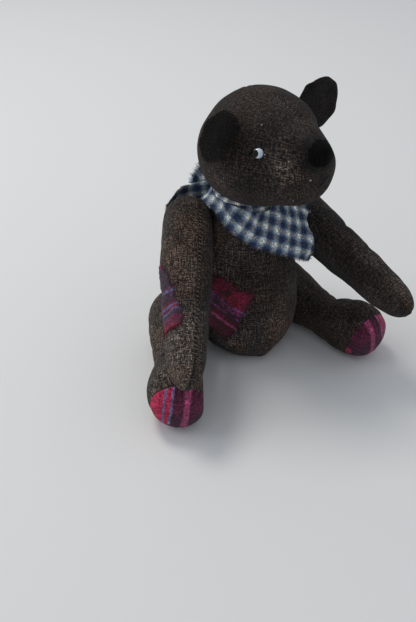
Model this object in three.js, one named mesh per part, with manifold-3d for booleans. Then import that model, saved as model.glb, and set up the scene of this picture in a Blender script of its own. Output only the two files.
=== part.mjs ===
// A small sewn linen teddy bear with disc joints at the neck, shoulders and hips.
// Millimetres, +Z up. The bear sits on the floor at z = 0 and faces -Y, so its own left is +X.
// The origin is the middle of the flat seat under the body.
import * as THREE from "three";
import { mergeVertices } from "three/addons/utils/BufferGeometryUtils.js";
import Module from "manifold-3d";

const wasm = await Module();
wasm.setup();

// ---- driving dimensions -------------------------------------------------------------------

const CLOTH = 1.0; // thickness of the sewn linen
const GAP = 0.3; // left between pieces that touch
const FAR = 400; // larger than the bear, for cutting
const HOLE_REACH = 5; // how far a hole is cut to each side of a joint's plane
const SMALL_SIDES = 6; // of holes and pins
const ROUND_SIDES = 16; // of discs
const EAR_SIDES = 22;
const EYE_SIDES = [14, 8]; // round the dome, and from its rim to its top
const SHANK_SIDES = 8;
const NOSE_SIDES = 18;
const SCARF_GRID = [36, 4]; // divisions round, and from its top to its lower edge
const KNOT_SIDES = [12, 8];
const PIN_SIDES = [5, 8]; // of its wire, and round its eye
// Divisions round each stuffed form, and along its outline.
const BODY_GRID = [20, 15];
const ARM_GRID = [14, 13];
const LEG_GRID = [16, 14];
const HEAD_GRID = [26, 18];
const JOINT_GAP = 0.4; // from a joint's plane to the cloth on each side of it

// Outlines are [radius, distance] pairs.
// The distance runs up the body, or from a limb's round top to its tip.
const BODY_OUTLINE = [
  [0, -2.4], [14.5, -1.9], [20.8, 3], [26.3, 11], [29.4, 22], [30.2, 34], [29.4, 48], [27, 61],
  [23.6, 74], [19.6, 84], [15.4, 92], [11.5, 100], [0, 103],
];
// The seams down the middle of the front and back stand out low on the body, like a keel.
const KEEL = 6; // how far, at the seat
const KEEL_TOP = 22; // height where it has faded out
const KEEL_SPREAD = 22; // degrees to each side
const BODY_DEPTH = 0.98; // front to back, as a share of the width
const BELLY_FORWARD = 3; // the lower body's middle is this far ahead of the neck
const SEAT_Z = -2; // height where the body starts to be shaped, just under its flat seat
const BELLY_RANGE = [15, 70]; // heights between which the body's middle moves back under the neck

const ARM_OUTLINE = [
  [0, 0], [8, 2], [12.9, 8], [14.7, 20], [14.5, 38], [13.2, 58], [11.6, 78],
  [10.5, 94], [8.3, 103.5], [4.8, 109], [0, 111.5],
];
const ARM_PIVOT = 16; // from the arm's round top to its joint
const ARM_OVAL = 0.94; // the arm's side-to-side thickness, as a share of its depth
const ARM_STANDOFF = 10.6; // from the joint's plane to the arm's middle

const LEG_OUTLINE = [
  [0, 0], [10, 2.2], [14.8, 9], [15.9, 20], [15, 34], [13.1, 48], [12.6, 56],
  [13.9, 66], [15.6, 76], [15.3, 84.5], [12.2, 91.5], [6.5, 95], [0, 96],
];
const LEG_STANDOFF = 13.4; // from the joint's plane to the leg's middle
// The legs were stuffed and joined by hand, not quite alike. Pivot: from the leg's round top to its joint.
// Sections, along the outline: height as a share of the width, and height of the middle above the floor.
const LEGS = {
  left: {
    pivot: 22,
    stretch: 1,
    sections: [
      [0, 1, 17.3], [20, 1, 17.3], [48, 0.92, 12.9], [58, 0.9, 12.4],
      [69, 0.94, 14.4], [79, 0.97, 15.8], [96, 0.97, 15.8],
    ],
  },
  right: {
    pivot: 19,
    stretch: 1.04,
    sections: [
      [0, 1, 17.3], [20, 1, 17.3], [48, 1, 13.9], [58, 1, 13.6],
      [69, 1.02, 15.4], [79, 1.04, 16.8], [96, 1.04, 16.8],
    ],
  },
};
const SOLE_FROM = 87; // along the leg's middle, where the sole is sewn on
const SOLE_TILT = 17; // degrees that the top of the sole's seam leans towards the toe

const HEAD_CENTRE = new THREE.Vector3(3.2, -7.2, 122);
const HEAD_RADII = new THREE.Vector3(32, 31.5, 31); // side, front to back, up
const MUZZLE_PUSH = 12; // how far the muzzle stands out of the round head
const MUZZLE_DROP = 1; // degrees below straight ahead
const MUZZLE_FULL = 24; // degrees round the muzzle's middle that stand out fully
const MUZZLE_FADE = 50; // degrees where the muzzle has faded into the head
const HEAD_TURN = 12; // degrees that the head looks to the bear's left
const HEAD_LEAN = 4; // degrees that the head leans to the bear's left
const NECK_Z = 97.8; // the plane between head and body

const EAR_RADIUS = 13.6;
const EAR_THICKNESS = 2.2; // two layers of linen
// Each ear: its side, degrees above level, distance from the head's middle, and how far ahead of it.
const EARS = {
  ear_left: { side: 1, rise: 29, reach: 40, forward: 5 },
  ear_right: { side: -1, rise: 24, reach: 38.8, forward: 6 },
};
const MERGE_WITHIN = 1e-4; // points nearer to each other than this are one point
const EYE_RADIUS = 2.9;
const EYE_HEIGHT = 1.7; // of the glass dome
const EYE_SHANK = [0.7, 5]; // radius and length
const EYE_LIFT = 1.1; // the head is round, so the dome's rim stands clear of it
const EYE_TURN = 46; // degrees to each side of straight ahead
const EYE_RISE = 16; // degrees above level
const NOSE_SIZE = [15.5, 10.5]; // across and down
const NOSE_RISE = 10.5; // above the head's middle
const STITCH_WIDTH = 0.9;
const STITCH_HEIGHT = 0.6;
const MOUTH = [[-6.6, -1.4], [0, -7], [6.6, -1.4]]; // the line of stitches, across and up
const PATCH_LIFT = 0.3;
const PATCH_THICKNESS = 0.8;
// Around the body and up, seen from the bear's front right.
const BELLY_PATCH = [
  [-12, 31], [-10, 52], [-3, 56], [8, 51], [15, 49], [15, 42], [10, 34], [9, 26], [2, 18], [-8, 26],
];
const BELLY_PATCH_TURN = -50; // degrees round from straight ahead
// Down the right arm and up, seen from outside.
const ELBOW_PATCH = [[27, -7], [28, 0], [40, 5], [52, 7.5], [58, 9.5], [65, 8], [66, 0], [64, -8], [40, -8]];

// The scarf: degrees round from straight ahead (to the bear's left), the height of its lower edge, and how
// far that edge stands off the body.
const SCARF = [
  [-180, 88, 1], [-95, 91, 0.4], [-72, 88, 0.4], [-58, 81, 0.6], [-30, 76, 1], [0, 69, 3], [20, 64, 7],
  [36, 59, 10], [44, 67.5, 7], [52, 83, 2.5], [62, 91, 0.5], [95, 91.5, 0.4], [180, 88, 1],
];
const SCARF_TOP = 97.2;
const SCARF_THICKNESS = 1.2; // two layers
const SCARF_CLEAR = 0.7; // from the body
const SCARF_FALL = 1.3; // how soon the scarf stands off below its top
const KNOT = { at: [-11.5, 19.5, 89], size: [6, 5, 5] };
// Each loose end of the knot: where it ends, and how wide it is.
const SCARF_ENDS = [
  { to: [-36, 27, 83], width: 10 },
  { to: [-19, 27, 101], width: 9 },
];

const DISC_THICKNESS = 2;
const WASHER_RADIUS = 4;
const WASHER_THICKNESS = 0.6;
const PIN_RADIUS = 0.9;
const PIN_WIRE = 0.6; // radius of the wire in the pin's eye and legs
const PIN_EYE = 1.5; // radius of the eye
const PIN_CURL = 1.5; // radius that the legs are rolled to
const PIN_END = 1.4; // how far the shank runs past the washers
const PIN_ROOM = 4.4; // room past a washer for the pin's eye or legs
const HOLE_RADIUS = 1.3; // through cloth, disc and washer

// Each limb joint: the point on its plane, the degrees that its outward normal leans back and up, and the
// limb's swing below straight ahead. The right side is mirrored, so every point has x > 0.
const JOINTS = {
  shoulder_left: { side: 1, at: [20.6, 3.5, 73.7], back: 6.3, up: 25, swing: 19.7 },
  shoulder_right: { side: -1, at: [21.5, 4.4, 73.8], back: 14.5, up: 25, swing: 30 },
  hip_left: { side: 1, at: [22.5, 8, 18.6], back: 15, up: 0, swing: 0 },
  hip_right: { side: -1, at: [26, 2.6, 18.6], back: 26, up: 0, swing: 0 },
};
const DISC_RADIUS = { neck: 8, shoulder_left: 7, shoulder_right: 7, hip_left: 6.3, hip_right: 6.1 };

const COLOURS = {
  linen: 0x3a302a,
  dark_linen: 0x1c1816,
  filling: 0xe6dfce,
  plaid: 0x7d1d36,
  elbow_plaid: 0x4a3344,
  gingham: 0x3c4f74,
  hardboard: 0x8a6a48,
  steel: 0xb4b6b8,
  glass: 0xe8ebee,
  thread: 0x12100f,
};

// ---- shapes to solids ---------------------------------------------------------------------

/** Only the positions of a geometry, with its shared points merged and no collapsed triangles. */
function merged(geometry) {
  const bare = new THREE.BufferGeometry();
  bare.setAttribute("position", geometry.getAttribute("position").clone());
  bare.setIndex(geometry.index ? geometry.index.clone() : null);
  const joined = mergeVertices(bare, MERGE_WITHIN);
  const index = joined.index.array;
  const kept = [];
  for (let i = 0; i < index.length; i += 3) {
    const [a, b, c] = [index[i], index[i + 1], index[i + 2]];
    if (a !== b && b !== c && c !== a) kept.push(a, b, c);
  }
  joined.setIndex(kept);
  return joined;
}

/** A closed geometry as a solid that can be joined and cut. */
function solid(geometry) {
  const closed = merged(geometry);
  return new wasm.Manifold(
    new wasm.Mesh({
      numProp: 3,
      vertProperties: new Float32Array(closed.getAttribute("position").array),
      triVerts: new Uint32Array(closed.index.array),
    }),
  );
}

/** A solid back as a geometry. */
function geometryOf(made) {
  const mesh = made.getMesh();
  const geometry = new THREE.BufferGeometry();
  geometry.setAttribute("position", new THREE.BufferAttribute(mesh.vertProperties, 3));
  geometry.setIndex(new THREE.BufferAttribute(mesh.triVerts, 1));
  geometry.computeVertexNormals();
  return geometry;
}

/** A solid put through a matrix. */
function placed(made, matrix) {
  return made.transform(matrix.elements);
}

/** The geometry grown outwards along its normals, or shrunk where the distance is negative. */
function grown(geometry, distance) {
  const skin = merged(geometry);
  skin.computeVertexNormals();
  const points = skin.getAttribute("position");
  const normals = skin.getAttribute("normal");
  for (let i = 0; i < points.count; i++) {
    const point = new THREE.Vector3().fromBufferAttribute(points, i);
    point.addScaledVector(new THREE.Vector3().fromBufferAttribute(normals, i), distance);
    points.setXYZ(i, point.x, point.y, point.z);
  }
  return skin;
}

/** Every point of a geometry put through a function. */
function reshaped(geometry, move) {
  const points = geometry.getAttribute("position");
  for (let i = 0; i < points.count; i++) {
    const point = move(new THREE.Vector3().fromBufferAttribute(points, i));
    points.setXYZ(i, point.x, point.y, point.z);
  }
  return geometry;
}

/** A smooth round body from an outline of [radius, distance] pairs, turned about Y. */
function turned(outline, around, along) {
  const curve = new THREE.SplineCurve(outline.map(([r, d]) => new THREE.Vector2(r, d)));
  const points = curve.getPoints(along).map((p) => new THREE.Vector2(Math.max(p.x, 0), p.y));
  points[0].x = 0;
  points[along].x = 0;
  return new THREE.LatheGeometry(points, around);
}

/** A value read from [at, value, ...] rows by straight interpolation. */
function between(rows, at, column) {
  const last = rows.findIndex((row) => row[0] >= at);
  if (last <= 0) return rows[last === 0 ? 0 : rows.length - 1][column];
  const [low, high] = [rows[last - 1], rows[last]];
  return THREE.MathUtils.lerp(low[column], high[column], (at - low[0]) / (high[0] - low[0]));
}

/** A cylinder along X from x0 to x1. */
function rodX(radius, x0, x1, sides) {
  const rod = new THREE.CylinderGeometry(radius, radius, x1 - x0, sides);
  rod.rotateZ(Math.PI / 2);
  rod.translate((x0 + x1) / 2, 0, 0);
  return solid(rod);
}

/** A block far larger than the bear, on the side x > from. */
function beyondX(from) {
  const block = new THREE.BoxGeometry(FAR, FAR, FAR);
  block.translate(from + FAR / 2, 0, 0);
  return solid(block);
}

// ---- frames -------------------------------------------------------------------------------

const degrees = THREE.MathUtils.degToRad;

/** The matrix of a joint's frame: x = 0 is its plane, +X points out of the body, -Y along the limb. */
function jointFrame({ side, at, back, up, swing }) {
  const turn = new THREE.Euler(degrees(swing), degrees(-up), degrees(back), "ZYX");
  const frame = new THREE.Matrix4().makeRotationFromEuler(turn).setPosition(...at);
  return new THREE.Matrix4().makeScale(side, 1, 1).multiply(frame);
}

/** The neck's frame: x = 0 is the plane between head and body, +X points up, -Y ahead of the head. */
function neckFrame() {
  const upright = new THREE.Matrix4().makeRotationY(-Math.PI / 2);
  const turn = new THREE.Matrix4().makeRotationZ(degrees(HEAD_TURN));
  return new THREE.Matrix4().makeTranslation(0, 0, NECK_Z).multiply(turn).multiply(upright);
}

/** The head's own frame, with its centre at the origin and its face towards -Y. */
function headFrame() {
  const turn = new THREE.Matrix4().makeRotationZ(degrees(HEAD_TURN));
  const lean = new THREE.Matrix4().makeRotationY(degrees(HEAD_LEAN));
  const place = new THREE.Matrix4().makeTranslation(...HEAD_CENTRE);
  return turn.multiply(place).multiply(lean);
}

const FRAMES = Object.fromEntries(Object.entries(JOINTS).map(([name, joint]) => [name, jointFrame(joint)]));
FRAMES.neck = neckFrame();

// ---- outer forms of the stuffed parts -----------------------------------------------------

/** The stuffed body, with its seat and neck still round. */
function bodyForm() {
  const form = turned(BODY_OUTLINE, ...BODY_GRID);
  form.rotateX(Math.PI / 2);
  reshaped(form, (p) => {
    const aside = THREE.MathUtils.radToDeg(Math.atan2(Math.abs(p.x), Math.abs(p.y)));
    const low = 1 - THREE.MathUtils.smoothstep(p.z, SEAT_Z, KEEL_TOP);
    const keel = KEEL * Math.exp(-aside / KEEL_SPREAD) * low;
    const wider = 1 + keel / Math.max(Math.hypot(p.x, p.y), KEEL);
    const forward = BELLY_FORWARD * (1 - THREE.MathUtils.smoothstep(p.z, ...BELLY_RANGE));
    return new THREE.Vector3(p.x * wider, p.y * wider * BODY_DEPTH - forward, p.z);
  });
  return merged(form);
}

/** A stuffed arm in its joint's frame. */
function armForm() {
  const form = turned(ARM_OUTLINE, ...ARM_GRID);
  form.rotateZ(Math.PI);
  form.scale(ARM_OVAL, 1, 1);
  form.translate(ARM_STANDOFF, ARM_PIVOT, 0);
  return merged(form);
}

/** A stuffed leg and foot in its joint's frame. */
function legForm(side) {
  const { pivot, stretch, sections } = LEGS[side];
  const form = turned(LEG_OUTLINE, ...LEG_GRID);
  reshaped(form, (p) => {
    const share = between(sections, p.y, 1);
    const middle = between(sections, p.y, 2);
    return new THREE.Vector3(p.x, p.y * stretch, p.z * share - middle + JOINTS.hip_left.at[2]);
  });
  form.rotateZ(Math.PI);
  form.rotateY(Math.PI);
  form.translate(LEG_STANDOFF, pivot, 0);
  return merged(form);
}

/** The unit direction this many degrees to the bear's left of straight ahead and above level. */
function aim(turn, rise) {
  const level = Math.cos(degrees(rise));
  const [sideways, ahead] = [level * Math.sin(degrees(turn)), level * Math.cos(degrees(turn))];
  return new THREE.Vector3(sideways, -ahead, Math.sin(degrees(rise)));
}

/** The point of the head's surface that a unit direction from its middle becomes. */
function headPoint(direction) {
  const muzzle = aim(0, -MUZZLE_DROP);
  const from = THREE.MathUtils.radToDeg(direction.angleTo(muzzle));
  const share = 1 - THREE.MathUtils.smoothstep(from, MUZZLE_FULL, MUZZLE_FADE);
  return direction.clone().multiply(HEAD_RADII).addScaledVector(muzzle, MUZZLE_PUSH * share);
}

/** The stuffed head in its own frame: a round skull with a blunt muzzle pushed out of it. */
function headForm() {
  const form = new THREE.SphereGeometry(1, ...HEAD_GRID);
  form.rotateX(Math.PI / 2);
  return merged(reshaped(form, (p) => headPoint(p.normalize())));
}

// ---- pieces -------------------------------------------------------------------------------

const bear = new THREE.Group();

/** Adds a solid to the bear as a named piece. */
function add(name, made, colour, { roughness = 0.95, metalness = 0, frame } = {}) {
  const material = new THREE.MeshStandardMaterial({ color: COLOURS[colour], roughness, metalness });
  const mesh = new THREE.Mesh(geometryOf(made), material);
  mesh.name = name;
  if (frame) mesh.applyMatrix4(frame);
  bear.add(mesh);
}

/** The hardware of one disc joint, in its joint's frame, with the outer half at x > 0. */
function discJoint(name, radius, frame) {
  const ring = (outer, x0, thickness, sides) => {
    const x1 = x0 + Math.sign(x0) * thickness;
    const [low, high] = [Math.min(x0, x1), Math.max(x0, x1)];
    return rodX(outer, low, high, sides).subtract(rodX(HOLE_RADIUS, low - 1, high + 1, SMALL_SIDES));
  };
  const discFrom = JOINT_GAP + CLOTH + GAP;
  const washerFrom = discFrom + DISC_THICKNESS + GAP;
  const pinFrom = washerFrom + WASHER_THICKNESS + GAP;
  for (const [part, side] of [["outer", 1], ["inner", -1]]) {
    const disc = ring(radius, side * discFrom, DISC_THICKNESS, ROUND_SIDES);
    add(`${name}_${part}_disc`, disc, "hardboard", { frame });
    const washer = ring(WASHER_RADIUS, side * washerFrom, WASHER_THICKNESS, ROUND_SIDES);
    add(`${name}_${part}_washer`, washer, "steel", { roughness: 0.35, metalness: 1, frame });
  }
  add(`${name}_cotter_pin`, cotterPin(pinFrom), "steel", { roughness: 0.35, metalness: 1, frame });
}

/** A split pin: an eye past the outer washer, a shank, and two legs curled back over the inner washer. */
function cotterPin(reach) {
  const eye = new THREE.TorusGeometry(PIN_EYE, PIN_WIRE, ...PIN_SIDES);
  eye.translate(reach + PIN_EYE + PIN_WIRE, 0, 0);
  let pin = rodX(PIN_RADIUS, -reach - PIN_END, reach + PIN_END, SMALL_SIDES).add(solid(eye));
  const section = new THREE.Shape().absarc(0, 0, PIN_WIRE, 0, 2 * Math.PI);
  const from = -reach - PIN_END / 2;
  const apart = PIN_WIRE / 2;
  for (const side of [1, -1]) {
    const curl = [0, 45, 90, 135, 180].map((angle) => {
      const [c, s] = [Math.cos(degrees(angle)), Math.sin(degrees(angle))];
      return new THREE.Vector3(from - PIN_CURL * s, side * (apart + PIN_CURL * (1 - c)), 0);
    });
    const path = new THREE.CatmullRomCurve3(curl);
    const leg = new THREE.ExtrudeGeometry(section, { extrudePath: path, steps: 4, curveSegments: 3 });
    pin = pin.add(solid(leg));
  }
  return pin;
}

/** Room for a joint's disc, washer and pin end inside a filling, on the side x > 0 or x < 0. */
function jointRoom(radius, side) {
  const discTo = JOINT_GAP + CLOTH + 2 * GAP + DISC_THICKNESS;
  const pinTo = discTo + WASHER_THICKNESS + GAP + PIN_ROOM;
  const discRoom = rodX(radius + 2 * GAP, 0, discTo, ROUND_SIDES);
  const room = discRoom.add(rodX(WASHER_RADIUS + 2 * GAP, 0, pinTo, ROUND_SIDES));
  return side > 0 ? room : room.mirror([1, 0, 0]);
}

/** A form's cloth cover and its filling, both cut flat by some planes and holed for some joints. */
function coverAndFilling(form, cuts, holes, rooms) {
  const layer = (depth) => cuts(solid(depth ? grown(form, -depth) : form), depth);
  const cover = holes(layer(0).subtract(layer(CLOTH)));
  const filling = rooms(layer(CLOTH + GAP));
  return [cover, filling];
}

/** A stuffed limb with its cover, filling and joint hardware. */
function limb(name, jointName, form, extra = (cover) => cover) {
  const frame = FRAMES[jointName];
  const [cover, filling] = coverAndFilling(
    form,
    (made, depth) => made.intersect(beyondX(JOINT_GAP + depth)),
    (made) => made.subtract(rodX(HOLE_RADIUS, -HOLE_REACH, HOLE_REACH, SMALL_SIDES)),
    (made) => made.subtract(jointRoom(DISC_RADIUS[jointName], 1)),
  );
  add(`${name}_cover`, extra(cover), "linen", { frame });
  add(`${name}_filling`, filling, "filling", { frame });
  discJoint(jointName, DISC_RADIUS[jointName], frame);
}

/** A leg whose cover ends at the sole, and the sole that closes it. */
function legWithSole(side) {
  const { pivot, stretch } = LEGS[side];
  const ahead = new THREE.BoxGeometry(FAR, FAR, FAR);
  ahead.translate(0, -FAR / 2, 0);
  ahead.rotateX(degrees(SOLE_TILT));
  ahead.translate(0, pivot - SOLE_FROM * stretch, 0);
  const pastSole = solid(ahead);
  const seam = GAP / 2;
  let sole;
  limb(`leg_${side}`, `hip_${side}`, legForm(side), (cover) => {
    sole = cover.intersect(pastSole.translate(0, -seam, 0));
    return cover.subtract(pastSole.translate(0, seam, 0));
  });
  add(`sole_${side}`, sole, "plaid", { frame: FRAMES[`hip_${side}`] });
}

/** The worn patches sewn on the belly and on the right elbow. */
function addPatches() {
  const round = new THREE.Matrix4().makeRotationZ(degrees(BELLY_PATCH_TURN));
  const belly = placed(prism(BELLY_PATCH), round);
  add("belly_patch", layerOn(bodyForm(), PATCH_LIFT, PATCH_THICKNESS).intersect(belly), "plaid");
  const outwards = new THREE.Matrix4().makeRotationZ(Math.PI / 2);
  const flat = prism(ELBOW_PATCH.map(([down, up]) => [-down, up]));
  const elbow = placed(flat, outwards).translate(ARM_STANDOFF, 0, 0);
  const frame = FRAMES.shoulder_right;
  const cloth = layerOn(armForm(), PATCH_LIFT, PATCH_THICKNESS).intersect(elbow);
  add("elbow_patch", cloth, "elbow_plaid", { frame });
}

/** A flat outline of [x, z] points as a prism that runs from y = 0 far ahead. */
function prism(outline) {
  const shape = new THREE.Shape(outline.map(([x, z]) => new THREE.Vector2(x, z)));
  const block = new THREE.ExtrudeGeometry(shape, { depth: FAR, bevelEnabled: false });
  block.rotateX(Math.PI / 2);
  return solid(block);
}

/** The outline of a line of stitches: the line's points, then the same points one stitch width lower. */
function stitchOutline(line, width) {
  const lower = line.map(([x, z]) => [x, z - width]).reverse();
  return [...line, ...lower];
}

/** The points of an ellipse in the XZ plane. */
function ellipse(across, down, middle, count) {
  const curve = new THREE.EllipseCurve(0, middle, across / 2, down / 2);
  return curve.getPoints(count).slice(0, count).map((p) => [p.x, p.y]);
}

/** The layer of cloth that lies on a form, from lift to lift plus thickness above it. */
function layerOn(form, lift, thickness) {
  return solid(grown(form, lift + thickness)).subtract(solid(grown(form, lift)));
}

// ---- the body -----------------------------------------------------------------------------

const body = bodyForm();

/** Cuts the body's seat and neck flat, and its sides flat where the limbs are joined. */
function bodyCuts(made, depth) {
  const top = NECK_Z - JOINT_GAP;
  const slab = new THREE.BoxGeometry(FAR, FAR, top - 2 * depth);
  slab.translate(0, 0, top / 2);
  let cut = made.intersect(solid(slab));
  for (const joint of Object.keys(JOINTS)) {
    const outside = beyondX(-JOINT_GAP - depth);
    cut = cut.subtract(placed(outside, FRAMES[joint]));
  }
  return cut;
}

/** A cut made at every joint of the body. */
function atEveryJoint(made, cutter) {
  let cut = made;
  for (const [name, frame] of Object.entries(FRAMES)) cut = cut.subtract(placed(cutter(name), frame));
  return cut;
}

const [bodyCover, bodyFilling] = coverAndFilling(
  body,
  bodyCuts,
  (made) => atEveryJoint(made, () => rodX(HOLE_RADIUS, -HOLE_REACH, HOLE_REACH, SMALL_SIDES)),
  (made) => atEveryJoint(made, (name) => jointRoom(DISC_RADIUS[name], -1)),
);
add("body_cover", bodyCover, "linen");
add("body_filling", bodyFilling, "filling");

limb("arm_left", "shoulder_left", armForm());
limb("arm_right", "shoulder_right", armForm());
legWithSole("left");
legWithSole("right");
addPatches();

// ---- the head -----------------------------------------------------------------------------

const head = headForm();
const toHead = headFrame();
const headWorld = merged(head.clone().applyMatrix4(toHead));

/** The matrix that puts +Y on the head's surface, along its outward normal, at a unit direction. */
function onHead(direction) {
  const out = direction.clone().divide(HEAD_RADII).normalize();
  const turn = new THREE.Quaternion().setFromUnitVectors(new THREE.Vector3(0, 1, 0), out);
  return new THREE.Matrix4().makeRotationFromQuaternion(turn).setPosition(headPoint(direction));
}

const EYES = { eye_left: aim(EYE_TURN, EYE_RISE), eye_right: aim(-EYE_TURN, EYE_RISE) };

/** A round rod along +Y from y0 to y1. */
function rodY(radius, y0, y1, sides) {
  const rod = new THREE.CylinderGeometry(radius, radius, y1 - y0, sides);
  rod.translate(0, (y0 + y1) / 2, 0);
  return solid(rod);
}

/** Cuts the holes that the eyes' shanks go through. */
function withEyeHoles(made) {
  const [radius, length] = EYE_SHANK;
  const hole = rodY(radius + GAP, -length - 2 * GAP, length, SHANK_SIDES);
  let cut = made;
  for (const direction of Object.values(EYES)) {
    cut = cut.subtract(placed(placed(hole, onHead(direction)), toHead));
  }
  return cut;
}

const [headCover, headFilling] = coverAndFilling(
  headWorld,
  (made, depth) => made.subtract(placed(beyondX(-JOINT_GAP - depth).mirror([1, 0, 0]), FRAMES.neck)),
  (made) => {
    const rod = rodX(HOLE_RADIUS, -HOLE_REACH, HOLE_REACH, SMALL_SIDES);
    return withEyeHoles(made.subtract(placed(rod, FRAMES.neck)));
  },
  (made) => withEyeHoles(made.subtract(placed(jointRoom(DISC_RADIUS.neck, 1), FRAMES.neck))),
);
add("head_cover", headCover, "linen");
add("head_filling", headFilling, "filling");
discJoint("neck", DISC_RADIUS.neck, FRAMES.neck);

for (const [name, { side, rise, reach, forward }] of Object.entries(EARS)) {
  const disc = new THREE.CylinderGeometry(EAR_RADIUS, EAR_RADIUS, EAR_THICKNESS, EAR_SIDES);
  disc.translate(reach, 0, 0);
  disc.rotateY(degrees(-rise));
  disc.translate(0, -forward, 0);
  const ear = side > 0 ? solid(disc) : solid(disc).mirror([1, 0, 0]);
  add(name, ear.subtract(solid(grown(head, GAP))), "dark_linen", { frame: toHead });
}

for (const [name, direction] of Object.entries(EYES)) {
  const dome = new THREE.SphereGeometry(EYE_RADIUS, ...EYE_SIDES);
  dome.scale(1, EYE_HEIGHT / EYE_RADIUS, 1);
  const above = rodY(3 * EYE_RADIUS, 0, 3 * EYE_RADIUS, ROUND_SIDES);
  const glass = solid(dome).intersect(above).translate(0, EYE_LIFT, 0);
  const eye = glass.add(rodY(EYE_SHANK[0], -EYE_SHANK[1], EYE_LIFT + EYE_SHANK[0], SHANK_SIDES));
  add(name, placed(eye, onHead(direction)), "glass", { roughness: 0.05, frame: toHead });
}

const nose = prism(ellipse(...NOSE_SIZE, NOSE_RISE, NOSE_SIDES));
add("nose", layerOn(head, GAP, PATCH_THICKNESS).intersect(nose), "dark_linen", { frame: toHead });
const mouth = prism(stitchOutline(MOUTH, STITCH_WIDTH));
add("mouth_stitches", layerOn(head, GAP, STITCH_HEIGHT).intersect(mouth), "thread", { frame: toHead });

// ---- the scarf ----------------------------------------------------------------------------

/** The body's radius at a height. */
function bodyRadius(z) {
  return between(BODY_OUTLINE.map(([radius, height]) => [height, radius]), z, 1);
}

/** The folded scarf round the neck, with its corner standing off the chest. */
function scarfBand() {
  const [around, rows] = SCARF_GRID;
  const profile = [];
  for (let i = 0; i <= rows; i++) profile.push(new THREE.Vector2(2, i / rows));
  for (let i = rows; i >= 0; i--) profile.push(new THREE.Vector2(1, i / rows));
  profile.push(profile[0].clone());
  const band = new THREE.LatheGeometry(profile, around);
  band.rotateX(Math.PI / 2);
  reshaped(band, (p) => {
    const turn = THREE.MathUtils.radToDeg(Math.atan2(p.x, -p.y));
    const layer = Math.hypot(p.x, p.y) - 1;
    const low = between(SCARF, turn, 1);
    const z = THREE.MathUtils.lerp(low, SCARF_TOP, p.z);
    const off = between(SCARF, turn, 2) * Math.pow(1 - p.z, SCARF_FALL);
    const radius = bodyRadius(z) + SCARF_CLEAR + off + layer * SCARF_THICKNESS;
    return aim(turn, 0).multiplyScalar(radius).setZ(z);
  });
  return solid(band);
}

/** One loose end of the scarf, from the knot to its own end. */
function scarfEnd({ to, width }) {
  const from = new THREE.Vector3(...KNOT.at);
  const along = new THREE.Vector3(...to).sub(from);
  const out = new THREE.Vector3(from.x, from.y, 0).normalize();
  const strip = new THREE.BoxGeometry(along.length(), SCARF_THICKNESS, width);
  strip.translate(along.length() / 2, 0, 0);
  const x = along.clone().normalize();
  const z = x.clone().cross(out).normalize();
  const basis = new THREE.Matrix4().makeBasis(x, z.clone().cross(x), z);
  return placed(solid(strip), basis.setPosition(from));
}

const knot = new THREE.SphereGeometry(1, ...KNOT_SIDES);
knot.scale(...KNOT.size);
knot.translate(...KNOT.at);
const tied = solid(knot).subtract(solid(grown(body, SCARF_CLEAR)));
add("scarf", SCARF_ENDS.reduce((made, end) => made.add(scarfEnd(end)), scarfBand().add(tied)), "gingham");

export default bear;
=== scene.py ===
"""A threadbare sewn teddy bear: worn linen skins over soft filling, a checked scarf and plaid patches."""

import math
import random

import bmesh
import bpy
from mathutils import Matrix, Vector, noise
from mathutils.bvhtree import BVHTree


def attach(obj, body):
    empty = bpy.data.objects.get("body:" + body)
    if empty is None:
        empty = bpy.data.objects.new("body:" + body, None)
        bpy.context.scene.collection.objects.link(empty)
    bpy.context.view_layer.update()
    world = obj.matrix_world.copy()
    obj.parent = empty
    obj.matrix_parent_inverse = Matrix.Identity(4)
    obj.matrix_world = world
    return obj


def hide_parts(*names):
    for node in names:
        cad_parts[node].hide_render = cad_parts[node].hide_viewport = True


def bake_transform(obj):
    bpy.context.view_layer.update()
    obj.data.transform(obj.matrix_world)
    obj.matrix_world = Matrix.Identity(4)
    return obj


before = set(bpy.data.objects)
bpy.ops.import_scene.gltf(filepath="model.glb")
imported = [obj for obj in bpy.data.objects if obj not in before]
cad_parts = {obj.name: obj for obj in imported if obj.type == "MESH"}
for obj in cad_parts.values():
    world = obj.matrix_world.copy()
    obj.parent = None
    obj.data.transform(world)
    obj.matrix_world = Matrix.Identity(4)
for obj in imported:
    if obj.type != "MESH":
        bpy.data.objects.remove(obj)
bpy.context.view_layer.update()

MM = 0.001
random.seed(7)

# ---- the bear's dimensions, in millimetres, as in the part's own source -------------------------

JOINT_GAP = 0.4  # from a joint's plane to the cloth on each side of it
NECK_Z = 97.8  # the plane between head and body

# Outlines are (radius, distance): up the body, or from a limb's round top to its tip.
BODY_OUTLINE = [
    (0, -2.4), (14.5, -1.9), (20.8, 3), (26.3, 11), (29.4, 22), (30.2, 34), (29.4, 48), (27, 61), (23.6, 74),
    (19.6, 84), (15.4, 92), (11.5, 100), (0, 103),
]
KEEL = 6  # how far the front and back seams stand out at the seat
KEEL_TOP = 22
KEEL_SPREAD = 22
BODY_DEPTH = 0.98
BELLY_FORWARD = 3
ARM_OUTLINE = [
    (0, 0), (8, 2), (12.9, 8), (14.7, 20), (14.5, 38), (13.2, 58), (11.6, 78), (10.5, 94), (8.3, 103.5), (4.8, 109),
    (0, 111.5),
]
ARM_PIVOT = 16
ARM_OVAL = 0.94
ARM_STANDOFF = 10.6
LEG_OUTLINE = [
    (0, 0), (10, 2.2), (14.8, 9), (15.9, 20), (15, 34), (13.1, 48), (12.6, 56), (13.9, 66), (15.6, 76), (15.3, 84.5),
    (12.2, 91.5), (6.5, 95), (0, 96),
]
LEG_STANDOFF = 13.4
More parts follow.
